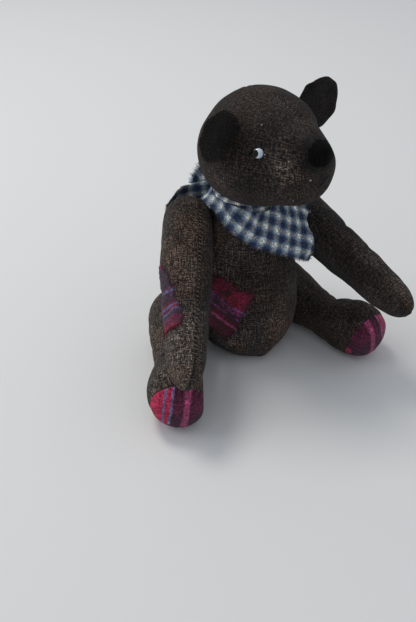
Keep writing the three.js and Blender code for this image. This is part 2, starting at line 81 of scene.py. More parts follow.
# Pivot: from the leg's round top to its joint. Sections, along the outline: the height of the section as a share
# of its width, and the height of its middle above the floor.
LEGS = {
    "left": (22, 1, [(0, 1, 17.3), (20, 1, 17.3), (48, 0.92, 12.9), (58, 0.9, 12.4), (69, 0.94, 14.4),
                     (79, 0.97, 15.8), (96, 0.97, 15.8)]),
    "right": (19, 1.04, [(0, 1, 17.3), (20, 1, 17.3), (48, 1, 13.9), (58, 1, 13.6), (69, 1.02, 15.4),
                         (79, 1.04, 16.8), (96, 1.04, 16.8)]),
}
SOLE_FROM = 87
SOLE_TILT = 17
HEAD_CENTRE = Vector((3.2, -7.2, 122))
HEAD_RADII = Vector((32, 31.5, 31))
MUZZLE_PUSH = 12
MUZZLE_DROP = 1
MUZZLE_FULL = 24
MUZZLE_FADE = 50
HEAD_TURN = 12
HEAD_LEAN = 4
EARS = {"ear_left": (1, 29, 40, 5), "ear_right": (-1, 24, 38.8, 6)}  # side, rise, reach, forward
EYE_TURN = 46
EYE_RISE = 16
NOSE_SIZE = (20.5, 12)
NOSE_ASIDE = 1.2  # the nose is sewn a little to the left
NOSE_RISE = 10.5
MOUTH = [(-6.6, -1.4), (-3.4, -4.6), (0, -7), (3.4, -4.6), (6.6, -1.4)]
# side, point on the plane, degrees the normal leans back, degrees it leans up, degrees the limb swings down
JOINTS = {
    "shoulder_left": (1, (20.6, 3.5, 73.7), 6.3, 25, 19.7),
    "shoulder_right": (-1, (21.5, 4.4, 73.8), 14.5, 25, 30),
    "hip_left": (1, (22.5, 8, 18.6), 15, 0, 0),
    "hip_right": (-1, (26, 2.6, 18.6), 26, 0, 0),
}


def turn(axis, angle):
    return Matrix.Rotation(math.radians(angle), 4, axis)


def joint_frame(side, at, back, up, swing):
    """x = 0 is the joint's plane, +X points out of the body and -Y runs along the limb."""
    mirrored = Matrix.Diagonal((side, 1, 1, 1))
    return mirrored @ Matrix.Translation(at) @ turn("Z", back) @ turn("Y", -up) @ turn("X", swing)


FRAMES = {name: joint_frame(*joint) for name, joint in JOINTS.items()}
TO_HEAD = turn("Z", HEAD_TURN) @ Matrix.Translation(HEAD_CENTRE) @ turn("Y", HEAD_LEAN)


# ---- small shape helpers ----------------------------------------------------------------------

def along_curve(points, share):
    """The point at this share of the way along a smooth curve through points."""
    place = share * (len(points) - 1)
    k = min(int(place), len(points) - 2)
    t = place - k
    p0, p1, p2, p3 = (points[min(max(k + j, 0), len(points) - 1)] for j in (-1, 0, 1, 2))
    v0, v1 = (p2 - p0) / 2, (p3 - p1) / 2
    return (2 * p1 - 2 * p2 + v0 + v1) * t**3 + (3 * p2 - 3 * p1 - 2 * v0 - v1) * t**2 + v0 * t + p1


def smooth_curve(outline, count):
    """(radius, distance) pairs along a smooth curve through an outline."""
    points = [Vector(pair) for pair in outline]
    found = [along_curve(points, i / count) for i in range(count + 1)]
    return [(max(radius, 0), distance) for radius, distance in found]


def between(rows, at, column):
    """A value read from (at, value, ...) rows, eased between them."""
    if at <= rows[0][0]:
        return rows[0][column]
    for low, high in zip(rows, rows[1:]):
        if at <= high[0]:
            t = (at - low[0]) / (high[0] - low[0])
            return low[column] + (high[column] - low[column]) * t * t * (3 - 2 * t)
    return rows[-1][column]


def fade(value, start, end):
    t = min(max((value - start) / (end - start), 0), 1)
    return t * t * (3 - 2 * t)


def hump(distance, width):
    return math.exp(-((distance / width) ** 2))


def at_least(value, low, soft):
    """value, held above low with a rounded corner."""
    t = (value - low) / soft
    return low + soft * (t if t > 30 else math.log1p(math.exp(t)))


def lumps(point, *kinds):
    """Unevenness in the filling, from the (size, height) of each kind of lump."""
    return sum(height * noise.noise(point / size) for size, height in kinds)


def polar(co):
    return math.hypot(co.x, co.y), math.atan2(co.y, co.x)


def near(point, spot, width):
    return hump((point - Vector(spot)).length, width)


def on_both(point, spot, width):
    """near() for a spot on the bear's right, then for the one on its left."""
    return [near(point, (side * spot[0], *spot[1:]), width) for side in (-1, 1)]


def wrapped(angle):
    return (angle + math.pi) % (2 * math.pi) - math.pi


def aim(across, rise):
    """The unit direction this many degrees to the bear's left of straight ahead and above level."""
    a, r = math.radians(across), math.radians(rise)
    return Vector((math.cos(r) * math.sin(a), -math.cos(r) * math.cos(a), math.sin(r)))


def lathe(outline, along, around):
    """A round form from an outline, turned about Z, as a bmesh in millimetres."""
    form = bmesh.new()
    verts = [form.verts.new((r, 0, z)) for r, z in smooth_curve(outline, along)]
    edges = [form.edges.new(pair) for pair in zip(verts, verts[1:])]
    bmesh.ops.spin(form, geom=verts + edges, cent=(0, 0, 0), axis=(0, 0, 1), dvec=(0, 0, 0),
                   angle=2 * math.pi, steps=around, use_merge=True, use_duplicate=False)
    bmesh.ops.remove_doubles(form, verts=form.verts, dist=1e-4)
    bmesh.ops.recalc_face_normals(form, faces=form.faces)
    return form


CAP_SLOPE = 0.72  # a face that looks along Z by more than this lies on an end
CAP_SHIFT = 300  # millimetres, so that the ends and the round side are cut from different cloth


def lay_round(form, radius):
    """Cloth coordinates in millimetres: round the form at one radius and along Z, and flat over its two ends."""
    layer = form.loops.layers.uv.new("cloth")
    form.normal_update()
    for face in form.faces:
        if abs(face.normal.z) > CAP_SLOPE:
            for loop in face.loops:
                loop[layer].uv = (loop.vert.co.x + CAP_SHIFT, loop.vert.co.y)
            continue
        centre = face.calc_center_median()
        middle = math.atan2(centre.y, centre.x)
        for loop in face.loops:
            co = loop.vert.co
            near_pole = math.hypot(co.x, co.y) < 1e-3
            angle = middle if near_pole else middle + wrapped(math.atan2(co.y, co.x) - middle)
            loop[layer].uv = (angle * radius, co.z)


def lay_by(form, place):
    """Cloth coordinates in millimetres from a function of a corner's place and its face's middle."""
    layer = form.loops.layers.uv.new("cloth")
    for face in form.faces:
        centre = face.calc_center_median()
        for loop in face.loops:
            loop[layer].uv = place(loop.vert.co, centre)


def marked(form, **marks):
    """Point attributes from functions of a point's place."""
    for name, mark in marks.items():
        layer = form.verts.layers.float.new(name)
        for vert in form.verts:
            vert[layer] = mark(vert.co)


def reshaped(form, move):
    for vert in form.verts:
        vert.co = move(vert.co.copy())


PIECES = {}
SIM_SCALE = 20  # cloth settings are made for things about a metre long
SIM_QUALITY = 3
SIM_PRESSURE = 4.0
SIM_BENDING = 3.0
SIM_SLACK = 0.03  # share by which the sewn skin is longer than its filling, so that it creases
SIM_FRAMES = 14
SIM_SMOOTHINGS = 2
SIM_LET_IN = 0.15  # the skin was drawn filled, so it is let in by this share of the furthest push
# Where a skin that is being filled comes free, in millimetres: above the floor, below the scarf, away from a
# joint's plane, and round a sewn-on spot.
FREE_FLOOR, FREE_SCARF, FREE_JOINT, FREE_SPOT = 5, 8, (0.6, 5), (4, 9)
FAR_BELOW, FAR_ABOVE = -99, 999  # past either end of the bear


def piece(name, form, materials, body, replaces=(), smooth=True):
    """A finished mesh from a bmesh in millimetres, riding on its body."""
    form.transform(Matrix.Scale(MM, 4))
    mesh = bpy.data.meshes.new(name)
    for face in form.faces:
        face.smooth = smooth
    form.to_mesh(mesh)
    form.free()
    made = bpy.data.objects.new(name, mesh)
    bpy.context.scene.collection.objects.link(made)
    for material in materials:
        mesh.materials.append(material)
    if body:
        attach(made, body)
    if replaces:
        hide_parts(*replaces)
    PIECES[name] = made
    return made


def held_at(joints, floor=FAR_BELOW, above=FAR_ABOVE, spots=(), edges=False):
    """How firmly the points of a skin are held while it is filled: wholly at joints, on the floor, by a
    scarf above some height, round sewn-on spots, and at open edges."""
    def held(spot, on_edge):
        free = min(fade(spot.z, floor, floor + FREE_FLOOR), fade(above - spot.z, 0, FREE_SCARF))
        for joint in joints:
            free = min(free, fade(abs((FRAMES[joint].inverted() @ spot).x), *FREE_JOINT))
        for sewn in spots:
            free = min(free, fade((spot - sewn).length, *FREE_SPOT))
        return 1.0 if edges and on_edge else 1 - free
    return held


def stuffed(made, held, most):
    """Lets the filling push a finished skin out, as cloth under pressure, by up to most millimetres."""
    mesh = made.data.copy()
    before = [v.co.copy() for v in mesh.vertices]
    form = bmesh.new()
    form.from_mesh(mesh)
    on_edge = [v.is_boundary for v in form.verts]
    neighbours = [[edge.other_vert(v).index for edge in v.link_edges] for v in form.verts]
    form.free()
    mesh.transform(Matrix.Scale(SIM_SCALE, 4))
    twin = bpy.data.objects.new("simulated", mesh)
    bpy.context.scene.collection.objects.link(twin)
    group = twin.vertex_groups.new(name="held")
    sewn = mesh.attributes["sewn"].data
    firm = [max(sewn[index].value, held(co / MM, on_edge[index])) for index, co in enumerate(before)]
    for index, share in enumerate(firm):
        group.add([index], share, "REPLACE")
    cloth = twin.modifiers.new("filling", "CLOTH")
    cloth.settings.quality = SIM_QUALITY
    cloth.settings.vertex_group_mass = "held"
    cloth.settings.effector_weights.gravity = 0
    cloth.settings.use_pressure = True
    cloth.settings.uniform_pressure_force = SIM_PRESSURE
    cloth.settings.shrink_min = -SIM_SLACK
    cloth.settings.bending_stiffness = SIM_BENDING
    cloth.point_cache.frame_end = SIM_FRAMES
    for number in range(1, SIM_FRAMES + 1):
        bpy.context.scene.frame_set(number)
    ready = twin.evaluated_get(bpy.context.evaluated_depsgraph_get())
    moves = [new.co / SIM_SCALE - old for old, new in zip(before, ready.data.vertices)]
    for _ in range(SIM_SMOOTHINGS):
        moves = [sum((moves[other] for other in beside), moves[index]) / (1 + len(beside))
                 for index, beside in enumerate(neighbours)]
    reach = most * MM
    drawn_in = [v.normal * (SIM_LET_IN * reach * (1 - share)) for v, share in zip(made.data.vertices, firm)]
    for v, old, move, back in zip(made.data.vertices, before, moves, drawn_in):
        v.co = old + move * (reach / max(move.length, reach)) - back
    bpy.context.scene.frame_set(1)
    bpy.data.objects.remove(twin)
    bpy.data.meshes.remove(mesh)


def surface(made):
    """A finished piece's surface, to lay other pieces on, in metres."""
    form = bmesh.new()
    form.from_mesh(made.data)
    tree = BVHTree.FromBMesh(form)
    form.free()
    return tree


# ---- materials --------------------------------------------------------------------------------

def colour(code):
    """Linear colour from an sRGB hex code."""
    parts = [int(code[i : i + 2], 16) / 255 for i in (1, 3, 5)]
    return tuple(c / 12.92 if c <= 0.04045 else ((c + 0.055) / 1.055) ** 2.4 for c in parts) + (1,)


def add(tree, kind, inputs, out=0, stops=(), **settings):
    """Adds a node and returns one of its outputs. Its inputs are numbers or outputs, in order or by name; stops
    are the (position, hex colour) pairs of a colour ramp."""
    made = tree.nodes.new("ShaderNode" + kind)
    for key, value in settings.items():
        setattr(made, key, value)
    for key, value in inputs.items() if isinstance(inputs, dict) else enumerate(inputs):
        if isinstance(value, bpy.types.NodeSocket):
            tree.links.new(value, made.inputs[key])
        else:
            made.inputs[key].default_value = value
    for _ in stops[2:]:
        made.color_ramp.elements.new(0.5)
    for element, (position, code) in zip(made.color_ramp.elements if stops else (), stops):
        element.position = position
        element.color = colour(code)
    return made.outputs[out]


def new_material(name, rough, **sockets):
    material = bpy.data.materials.new(name)
    material.use_nodes = True
    shader = material.node_tree.nodes["Principled BSDF"]
    shader.inputs["Roughness"].default_value = rough
    for key, value in sockets.items():
        shader.inputs[key.replace("_", " ")].default_value = value
    return material, material.node_tree


def finished(material, cloth, height, distance, strength=0.7):
    """Gives a material its colour and its relief, whose distance is in metres."""
    tree = material.node_tree
    bump = add(tree, "Bump", {"Strength": strength, "Distance": distance, "Height": height})
    for output, name in ((cloth, "Base Color"), (bump, "Normal")):
        tree.links.new(output, tree.nodes["Principled BSDF"].inputs[name])
    return material


RGBA = {"data_type": "RGBA"}  # a Mix node of colours: 0 is its factor, 6 and 7 its colours, 2 its output
LINEN_PITCH = 0.72  # millimetres from thread to thread, here and below
WOOL_PITCH = 0.8
COTTON_PITCH = 0.55
STREAK = 1 / 0.3  # a thread keeps one tone for about this many threads


def grains(tree, uv, size, detail=2.0):
    """Noise whose grains are size millimetres across and along."""
    scaled = add(tree, "Mapping", {0: uv, "Scale": (1 / size[0], 1 / size[1], 1)})
    return add(tree, "TexNoise", {0: scaled, "Scale": 1.0, "Detail": detail})


def threads(tree, uv, pitch):
    """A plain weave of uneven threads: its height, a tone that streaks along each thread, and which is on top."""
    scaled = add(tree, "VectorMath", {0: uv, "Scale": 1 / pitch}, operation="SCALE")
    ways = add(tree, "SeparateXYZ", [scaled]).node.outputs[:2]
    ridges = []
    for ridge in ways:
        for operation, second in (("MULTIPLY", math.pi), ("SINE", 0), ("ABSOLUTE", 0)):
            ridge = add(tree, "Math", [ridge, second], operation=operation)
        ridges.append(ridge)
    steps = [add(tree, "Math", [way], operation="FLOOR") for way in ways]
    over = add(tree, "Math", [add(tree, "Math", steps, operation="ADD"), 1.0], operation="PINGPONG")
    tones = [grains(tree, scaled, size) for size in ((1, STREAK), (STREAK, 1))]
    height, tone = (add(tree, "Mix", {0: over, 2: down, 3: across}, data_type="FLOAT")
                    for down, across in (ridges, tones))
    return height, tone, over


def shaded(tree, cloth, *depths):
    """The colour multiplied by every depth."""
    depth = depths[0]
    for other in depths[1:]:
        depth = add(tree, "Math", [depth, other], operation="MULTIPLY")
    tint = add(tree, "CombineColor", [depth] * 3)
    return add(tree, "Mix", {0: 1.0, 6: cloth, 7: tint}, 2, blend_type="MULTIPLY", **RGBA)


def unmarked(tree):
    """One less the 'shade' mark, which holds painted shade, the darker muzzle and jaw, and the nose's soft black
    edge.
    """
    shade = add(tree, "Attribute", {}, "Fac", attribute_name="shade")
    return add(tree, "Math", [1.0, shade], operation="SUBTRACT")


def linen(name, dark, middle, light, worn, bare):
    """Coarse linen: matt flax threads of uneven thickness, rubbed brown by handling, sooty in patches, with painted
    shade between the threads.
    """
    material, tree = new_material(name, 0.95, Sheen_Weight=0.05, Sheen_Roughness=0.6, Specular_IOR_Level=0.15)
    uv = add(tree, "UVMap", {}, uv_map="cloth")
    place = add(tree, "TexCoord", {}, "Object")
    height, tone, _ = threads(tree, uv, LINEN_PITCH)
    base = add(tree, "ValToRGB", [tone], stops=[(0.38, dark), (0.5, middle), (0.63, light)])
    rubbed = add(tree, "ValToRGB", [tone], stops=[(0.38, dark), (0.5, worn), (0.64, bare)])
    # patches of wear about 20 mm across, beside the marked ones; on the lower body the 'worn' mark is painted bounce
    # light from the floor
    wear_and_bounce_light = add(tree, "TexNoise", {0: place, "Scale": 48.0, "Detail": 3.0})
    marks = add(tree, "Attribute", {}, "Fac", attribute_name="worn")
    for operation, second in (("SUBTRACT", 0.45), ("MULTIPLY", 1.2), ("ADD", marks)):
        wear_and_bounce_light = add(tree, "Math", [wear_and_bounce_light, second], operation=operation)
    wear_and_bounce_light = add(tree, "Clamp", [wear_and_bounce_light])
    cloth = add(tree, "Mix", {0: wear_and_bounce_light, 6: base, 7: rubbed}, 2, **RGBA)
    # here and there a thick thread, 0.9 mm wide, runs dark or pale for 13 mm either way of the weave
    slubs = [add(tree, "MapRange", [grains(tree, uv, size), 0.36, 0.64, 0.7, 1.3])
             for size in ((13, 0.9), (0.9, 13))]
    # loose pale fibres about a millimetre across are caught on the weave, most of them where it is worn
    specks = add(tree, "TexNoise", {0: uv, "Scale": 0.8, "Detail": 3.0, "Roughness": 0.7})
    fleck = [add(tree, "MapRange", [specks, 0.66, 0.76, 0.0, 0.8]), add(tree, "Math", [wear_and_bounce_light, 0.05], operation="ADD")]
    fleck = add(tree, "Math", fleck, operation="MULTIPLY")
    cloth = add(tree, "Mix", {0: fleck, 6: cloth, 7: colour(bare)}, 2, **RGBA)
    # the dye has gone brown in patches about 25 mm across
    faded = add(tree, "TexNoise", {0: place, "Scale": 38.0, "Detail": 2.0, "Distortion": 0.4})
    faded = add(tree, "MapRange", [faded, 0.42, 0.62, 0.0, 0.75])
    cloth = add(tree, "Mix", {0: faded, 6: cloth, 7: colour("#ffe6d4")}, 2, blend_type="MULTIPLY", **RGBA)
    # soot lies in patches about 30 mm across; painted shade darkens the hollows between threads and the places marked
    # 'shade'
    painted_gap_shade = add(tree, "MapRange", [height, 0.0, 0.75, 0.2, 1.14])
    soot = add(tree, "TexNoise", {0: place, "Scale": 30.0, "Detail": 2.0})
    soot = add(tree, "MapRange", [soot, 0.38, 0.6, 0.58, 1.16])
    cloth = shaded(tree, cloth, painted_gap_shade, soot, *slubs, unmarked(tree))
    return finished(material, cloth, add(tree, "Math", [height, tone], operation="ADD"), 0.00025)


def wandering(tree, uv, scale, reach):
    """Cloth coordinates in which no stripe is quite straight, as in handwoven or much-washed cloth."""
    wander = add(tree, "TexNoise", {0: uv, "Scale": scale, "Detail": 2.0}, "Color")
    return add(tree, "VectorMath", {0: wander, 1: (reach, reach, 0), 2: uv}, operation="MULTIPLY_ADD")


def striped(tree, uv, over, ways, weft_shows):
    """Stripes both ways, from (millimetres, colour) stops that repeat after the last, and the two crossed."""
    found = []
    for share, stops in zip(add(tree, "SeparateXYZ", [uv]).node.outputs, ways):
        repeat = stops[-1][0]
        for operation, second in (("DIVIDE", repeat), ("FRACT", 0)):
            share = add(tree, "Math", [share, second], operation=operation)
        found.append(add(tree, "ValToRGB", [share], stops=[(place / repeat, code) for place, code in stops]))
    shows = add(tree, "MapRange", [over, 0.0, 1.0, *weft_shows])
    return found, add(tree, "Mix", {0: shows, 6: found[0], 7: found[1]}, 2, **RGBA)


WOOL_WANDER = 3.0  # millimetres that the wool's stripes stray over


def plaid(name, angle, warp, weft, weft_shows, dull):
    """Woollen plaid: coloured stripes both ways, crossed in a soft worn weave."""
    material, tree = new_material(name, 0.95, Sheen_Weight=0.06, Sheen_Roughness=0.6, Specular_IOR_Level=0.15)
    uv = add(tree, "UVMap", {}, uv_map="cloth")
    back = -WOOL_WANDER / 2
    turned = add(tree, "Mapping", {0: wandering(tree, uv, 0.12, WOOL_WANDER), "Location": (back, back, 0),
                                   "Rotation": (0, 0, math.radians(angle))})
    height, tone, over = threads(tree, turned, WOOL_PITCH)
    _, cloth = striped(tree, turned, over, (warp, weft), weft_shows)
    # fulled wool: the shades of single tufts, 1 to 2 mm across
    tufts = add(tree, "MapRange", [grains(tree, turned, (1.5, 1.5), 3.0), 0.35, 0.65, 0.6, 1.45])
    tones = add(tree, "MapRange", [tone, 0.36, 0.64, 0.55, 1.45])
    # painted shade in the hollows between threads
    painted_gap_shade = add(tree, "MapRange", [height, 0.0, 0.7, 0.55, 1.05])
    cloth = shaded(tree, cloth, tufts, tones, painted_gap_shade)
    # threadbare places about 6 mm across, where the dark ground shows
    bare = add(tree, "TexNoise", {0: uv, "Scale": 0.16, "Detail": 4.0, "Roughness": 0.65})
    bare = add(tree, "MapRange", [bare, 0.42, 0.6, 0.0, dull])
    cloth = add(tree, "Mix", {0: bare, 6: cloth, 7: colour("#2c2422")}, 2, **RGBA)
    cloth = shaded(tree, cloth, unmarked(tree))
    return finished(material, cloth, add(tree, "Math", [height, tone], operation="ADD"), 0.0002)


def gingham(name):
    """Brushed cotton gingham: navy and pale threads in 7.7 mm checks, washed soft."""
    material, tree = new_material(name, 0.9, Sheen_Weight=0.1, Sheen_Roughness=0.5, Specular_IOR_Level=0.2)
    drawn = wandering(tree, add(tree, "UVMap", {}, uv_map="cloth"), 0.13, 2.2)
    height, tone, over = threads(tree, drawn, COTTON_PITCH)
    ways, cloth = striped(tree, drawn, over, (GINGHAM_STRIPES, GINGHAM_STRIPES), (0.38, 0.62))
    # where a pale stripe crosses a navy one the darker threads win
    darker = add(tree, "Mix", {0: 1.0, 6: ways[0], 7: ways[1]}, 2, blend_type="DARKEN", **RGBA)
    cloth = add(tree, "Mix", {0: 0.5, 6: cloth, 7: darker}, 2, **RGBA)
    # nap: single tufts under a millimetre across
    tufts = add(tree, "MapRange", [grains(tree, drawn, (0.9, 0.9), 3.0), 0.36, 0.64, 0.5, 1.6])
    tones = add(tree, "MapRange", [tone, 0.36, 0.64, 0.65, 1.35])
    # the hollows between threads are darkened too: painted shade
    cloth = shaded(tree, cloth, tufts, tones, add(tree, "MapRange", [height, 0.0, 0.7, 0.7, 1.05]))
    return finished(material, cloth, add(tree, "Math", [height, tone], operation="ADD"), 0.00015, 0.5)


def grained(name, rough, low, high, scale, relief, **sockets):
    """A plain material with a fine grain in its colour and relief."""
    material, tree = new_material(name, rough, **sockets)
    grain = add(tree, "TexNoise", {0: add(tree, "TexCoord", {}, "Object"), "Scale": scale, "Detail": 4.0})
    return finished(material, add(tree, "ValToRGB", [grain], stops=[(0.35, low), (0.65, high)]), grain, relief, 0.5)


def bands(*rows):
    """(millimetres, colour) stops, from rows that each end in the colour at one or more places."""
    return [(place, code) for *places, code in rows for place in places]


RED, PLUM, PINK, BLUE = "#c92d54", "#472438", "#b3527f", "#7378a2"
NAVY, STEEL, ASH, CREAM = "#2b3550", "#6b819b", "#a3b5c0", "#e8e4d4"
WINE, DUSK, SLATE, LILAC, GREY = "#8e1f3a", "#3f2f3c", "#66739f", "#5c5488", "#443242"
GINGHAM_STRIPES = bands((0, 2.3, NAVY), (3.2, STEEL), (4, ASH), (4.8, 5.9, CREAM), (6.5, ASH), (7, STEEL),
                        (7.7, NAVY))
SOLE_STRIPES = bands((0, 7.3, PLUM), (8.2, 10.8, PINK), (11.8, 16.2, PLUM), (16.7, 17.5, BLUE), (18, 20, RED),
                     (20.4, 21.2, BLUE), (21.7, 35, RED), (36, PLUM))
SOLE_CROSS = bands((0, 9, "#8c2547"), (10, 15, PLUM), (16, "#5f3f6b"), (17, PLUM), (21, 24, "#8c2547"))
BELLY_CROSS = bands((0, 11, "#3d182a"), (13, 27, "#8e2039"), (30, 36, "#3a1a2d"))
BELLY_STRIPES = bands((0, "#4a1c2f"), (27.2, "#35182b"), (27.5, 28.9, PINK), (29.3, 33, "#35182b"),
                      (33.3, 34.2, LILAC), (34.5, 36.2, "#6e2350"), (36.5, 37.3, LILAC), (37.6, 38.5, "#7d2a53"),
                      (38.8, 39.5, LILAC), (40, "#7d1f3c"), (60, "#551a2d"))
ELBOW_STRIPES = bands((0, 29, WINE), (30, 43, DUSK), (43.4, 44.3, "#86456b"), (44.7, 45.6, SLATE), (46, 51, GREY),
                      (51.4, 52.2, WINE), (52.5, 53.3, SLATE), (53.6, 54.8, WINE), (55.1, 55.9, SLATE),
                      (56.2, 58.5, GREY), (59, "#7c2440"), (62, "#5a2a40"), (64, 70, WINE))
ELBOW_CROSS = bands((0, DUSK), (5, "#562f4a"), (10, DUSK), (14, "#4e3d53"), (18, DUSK))

# Rubbed and sooty linen with painted shade in its hollows: no shine, a coarse weave, brown where it is worn.
BROWN = linen("worn_brown_linen", "#0e0c0b", "#2a2421", "#534942", "#4e443f", "#9a8c81")
BLACK = linen("sooty_black_linen", "#080707", "#141110", "#28221f", "#2b231f", "#5a4f48")
# Worn wool: no shine, soft stripe edges, dark where the tufts are gone.
SOLE = plaid("crimson_wool_plaid", -8, SOLE_STRIPES, SOLE_CROSS, (0.05, 0.4), 0.35)
BELLY = plaid("faded_crimson_plaid", 27.5, BELLY_CROSS, BELLY_STRIPES, (0.5, 0.95), 0.9)
ELBOW = plaid("purple_grey_plaid", 0, ELBOW_STRIPES, ELBOW_CROSS, (0.05, 0.45), 0.45)
# Washed cotton: a soft nap over clear checks.
SCARF = gingham("washed_cotton_gingham")
# Threads: a dull gleam from wax on the black one, none on the dry flax and the lint.
THREAD = grained("waxed_black_thread", 0.7, "#0c0b0b", "#1d1a19", 900, 0.0001)
TAN_THREAD = grained("tan_linen_thread", 0.9, "#4b4038", "#85786a", 700, 0.0001)
PALE_THREAD = grained("pale_cotton_lint", 0.9, "#8d8680", "#c4beb6", 700, 0.0001)
# Felted wool: it swallows light, so the nose is the blackest place.
NOSE_WOOL = grained("black_wool_felt", 1.0, "#060505", "#121010", 900, 0.0003, Specular_IOR_Level=0.1)
# Glass: small sharp lights, over milky white or over black.
EYE_WHITE = grained("milk_glass", 0.12, "#c3cfdd", "#dbe3ea", 160, 0.00002, Coat_Weight=1.0, Coat_Roughness=0.04)
EYE_BLACK = grained("jet_glass", 0.12, "#020202", "#070707", 200, 0.00001, Specular_IOR_Level=0.3)
# Inside: fluffy cream kapok, brown pressed board, and drawn steel with a soft gleam.
FILLING = grained("kapok_filling", 1.0, "#b9ae97", "#eee6d2", 260, 0.0008)
BOARD = grained("pressed_hardboard", 0.8, "#5f452c", "#93704a", 500, 0.0002)
WIRE = grained("bright_steel_wire", 0.32, "#9fa3a6", "#c6c9cb", 900, 0.00002, Metallic=1.0)

# ---- stuffed limbs ----------------------------------------------------------------------------


def pucker(distance, along, depth):
    """A sewn seam: a sharp groove with small gathers beside it."""
    gathers = 0.22 * math.sin(along * 2.3) * hump(abs(distance) - 1.6, 1.6)
    return depth * hump(distance, 0.7) - 0.22 * hump(abs(distance) - 1.5, 1.0) - gathers * depth


# (size, height) of the lumps, and how deep the seams are drawn in, in millimetres
ARM_LUMPS, ARM_PUCKER = ((17, 1.0), (6, 0.28)), 0.5
LEG_LUMPS, LEG_PUCKER = ((17, 0.9), (6, 0.25)), 0.35
BODY_LUMPS, BODY_PUCKER = ((26, 1.3), (8, 0.3)), 0.5
HEAD_LUMPS, HEAD_PUCKER = ((24, 1.2), (8, 0.3)), 0.45
LEG_PROUD = 0.3  # the linen stands this far off the filling
SOFT = 0.5  # rounding of the places where cloth is pressed flat
ARM_ROUND, LEG_ROUND, BODY_ROUND = 13, 14, 27  # radii at which the cloth is laid round


def arm_shape(joint, seams, seed):
    def shape(co):
        (radius, angle), along = polar(co), co.z
        skin = Vector((math.cos(angle) * 14, math.sin(angle) * 14, along + seed))
        inwards = sum(pucker(wrapped(angle - math.radians(seam)) * radius, along, ARM_PUCKER) for seam in seams)
        radius += min(1, radius / 5) * (lumps(skin, *ARM_LUMPS) - inwards)
        x = at_least(ARM_STANDOFF + ARM_OVAL * radius * math.cos(angle), JOINT_GAP, SOFT)
        return FRAMES[joint] @ Vector((x, ARM_PIVOT - along, radius * math.sin(angle)))
    return shape


def leg_shape(side, seed):
    joint = f"hip_{side}"
    pivot, stretch, sections = LEGS[side]

    def shape(co):
        (radius, angle), along = polar(co), co.z
        skin = Vector((math.cos(angle) * 15, math.sin(angle) * 15, along + seed))
        inwards = sum(pucker(wrapped(angle - math.radians(seam)) * radius, along, LEG_PUCKER) for seam in (90, -90))
        tilt = math.tan(math.radians(SOLE_TILT)) * radius * math.sin(angle)
        rim = hump(along - SOLE_FROM + tilt, 0.9)
        radius += min(1, radius / 5) * (LEG_PROUD + lumps(skin, *LEG_LUMPS) - inwards - 0.5 * rim)
        share = between(sections, along, 1)
        middle = between(sections, along, 2)
        x = at_least(LEG_STANDOFF + radius * math.cos(angle), JOINT_GAP, SOFT)
        z = at_least(middle + radius * share * math.sin(angle), 0.1, 0.3)
        return FRAMES[joint] @ Vector((x, pivot - along * stretch, z - JOINTS[joint][1][2]))
    return shape


def limb_worn(least, tip):
    """A limb is rubbed pale towards its tip."""
    return lambda co: least + 0.3 * fade(co.z, tip * 0.55, tip)


def sewn_at(seams):
    """How firmly the seams at some angles hold the cloth."""
    def sewn(co):
        radius, angle = polar(co)
        return min(1, sum(hump(wrapped(angle - math.radians(seam)) * radius, 1.5) for seam in seams))
    return sewn


def arm_shade(co, seam):
    """Painted shade on the side towards the body, and in the groove of the front seam."""
    radius, angle = polar(co)
    inner = 0.5 * fade(-math.cos(angle), -0.25, 0.35)
    groove = 0.6 * hump(wrapped(angle - math.radians(seam)) * radius, 0.8)
    return min(0.8, inner + groove)


def stitched(name, shape, outline, angle, along, pitch, body, material):
    """Small oversewn stitches across a seam."""
    form = bmesh.new()
    curve = smooth_curve(outline, 200)
    at = along[0]
    while at < along[1]:
        radius = min(curve, key=lambda p: abs(p[1] - at))[0]
        middle = shape(Vector((radius * math.cos(angle), radius * math.sin(angle), at)))
        spread = 0.9 / radius
        ends = []
        for side, lean in ((-1, -0.25), (1, 0.25)):
            a = angle + side * spread
            ends.append(shape(Vector((radius * math.cos(a), radius * math.sin(a), at + lean))))
        line = ends[1] - ends[0]
        turned = line.to_track_quat("X", "Z").to_matrix().to_4x4()
        size = Matrix.Diagonal((line.length * 0.55, 0.24, 0.24, 1))
        bmesh.ops.create_uvsphere(form, u_segments=6, v_segments=5, radius=1,
                                  matrix=Matrix.Translation((ends[0] + ends[1] + middle) / 3) @ turned @ size)
        at += pitch * random.uniform(0.85, 1.15)
    piece(name, form, [material], body)


# the bear's right side has been handled more than its left
for side, seams, seed, worn in (("left", (-90, 90), 3, 0.0), ("right", (89, -91), 40, 0.4)):
    shape = arm_shape(f"shoulder_{side}", seams, seed)
    form = lathe(ARM_OUTLINE, 150, 112)
    lay_round(form, ARM_ROUND)
    marked(form, worn=limb_worn(worn, 111), shade=lambda co: arm_shade(co, seams[0]), sewn=sewn_at(seams))
    reshaped(form, shape)
    if side == "right":
        bmesh.ops.recalc_face_normals(form, faces=form.faces)
    made = piece(f"arm_{side}_skin", form, [BROWN], f"arm_{side}", [f"arm_{side}_cover"])
    stuffed(made, held_at([f"shoulder_{side}"]), 0.7)
    stitched(f"arm_{side}_seam", shape, ARM_OUTLINE, math.radians(seams[0]), (14, 96), 2.3, f"arm_{side}",
             TAN_THREAD)

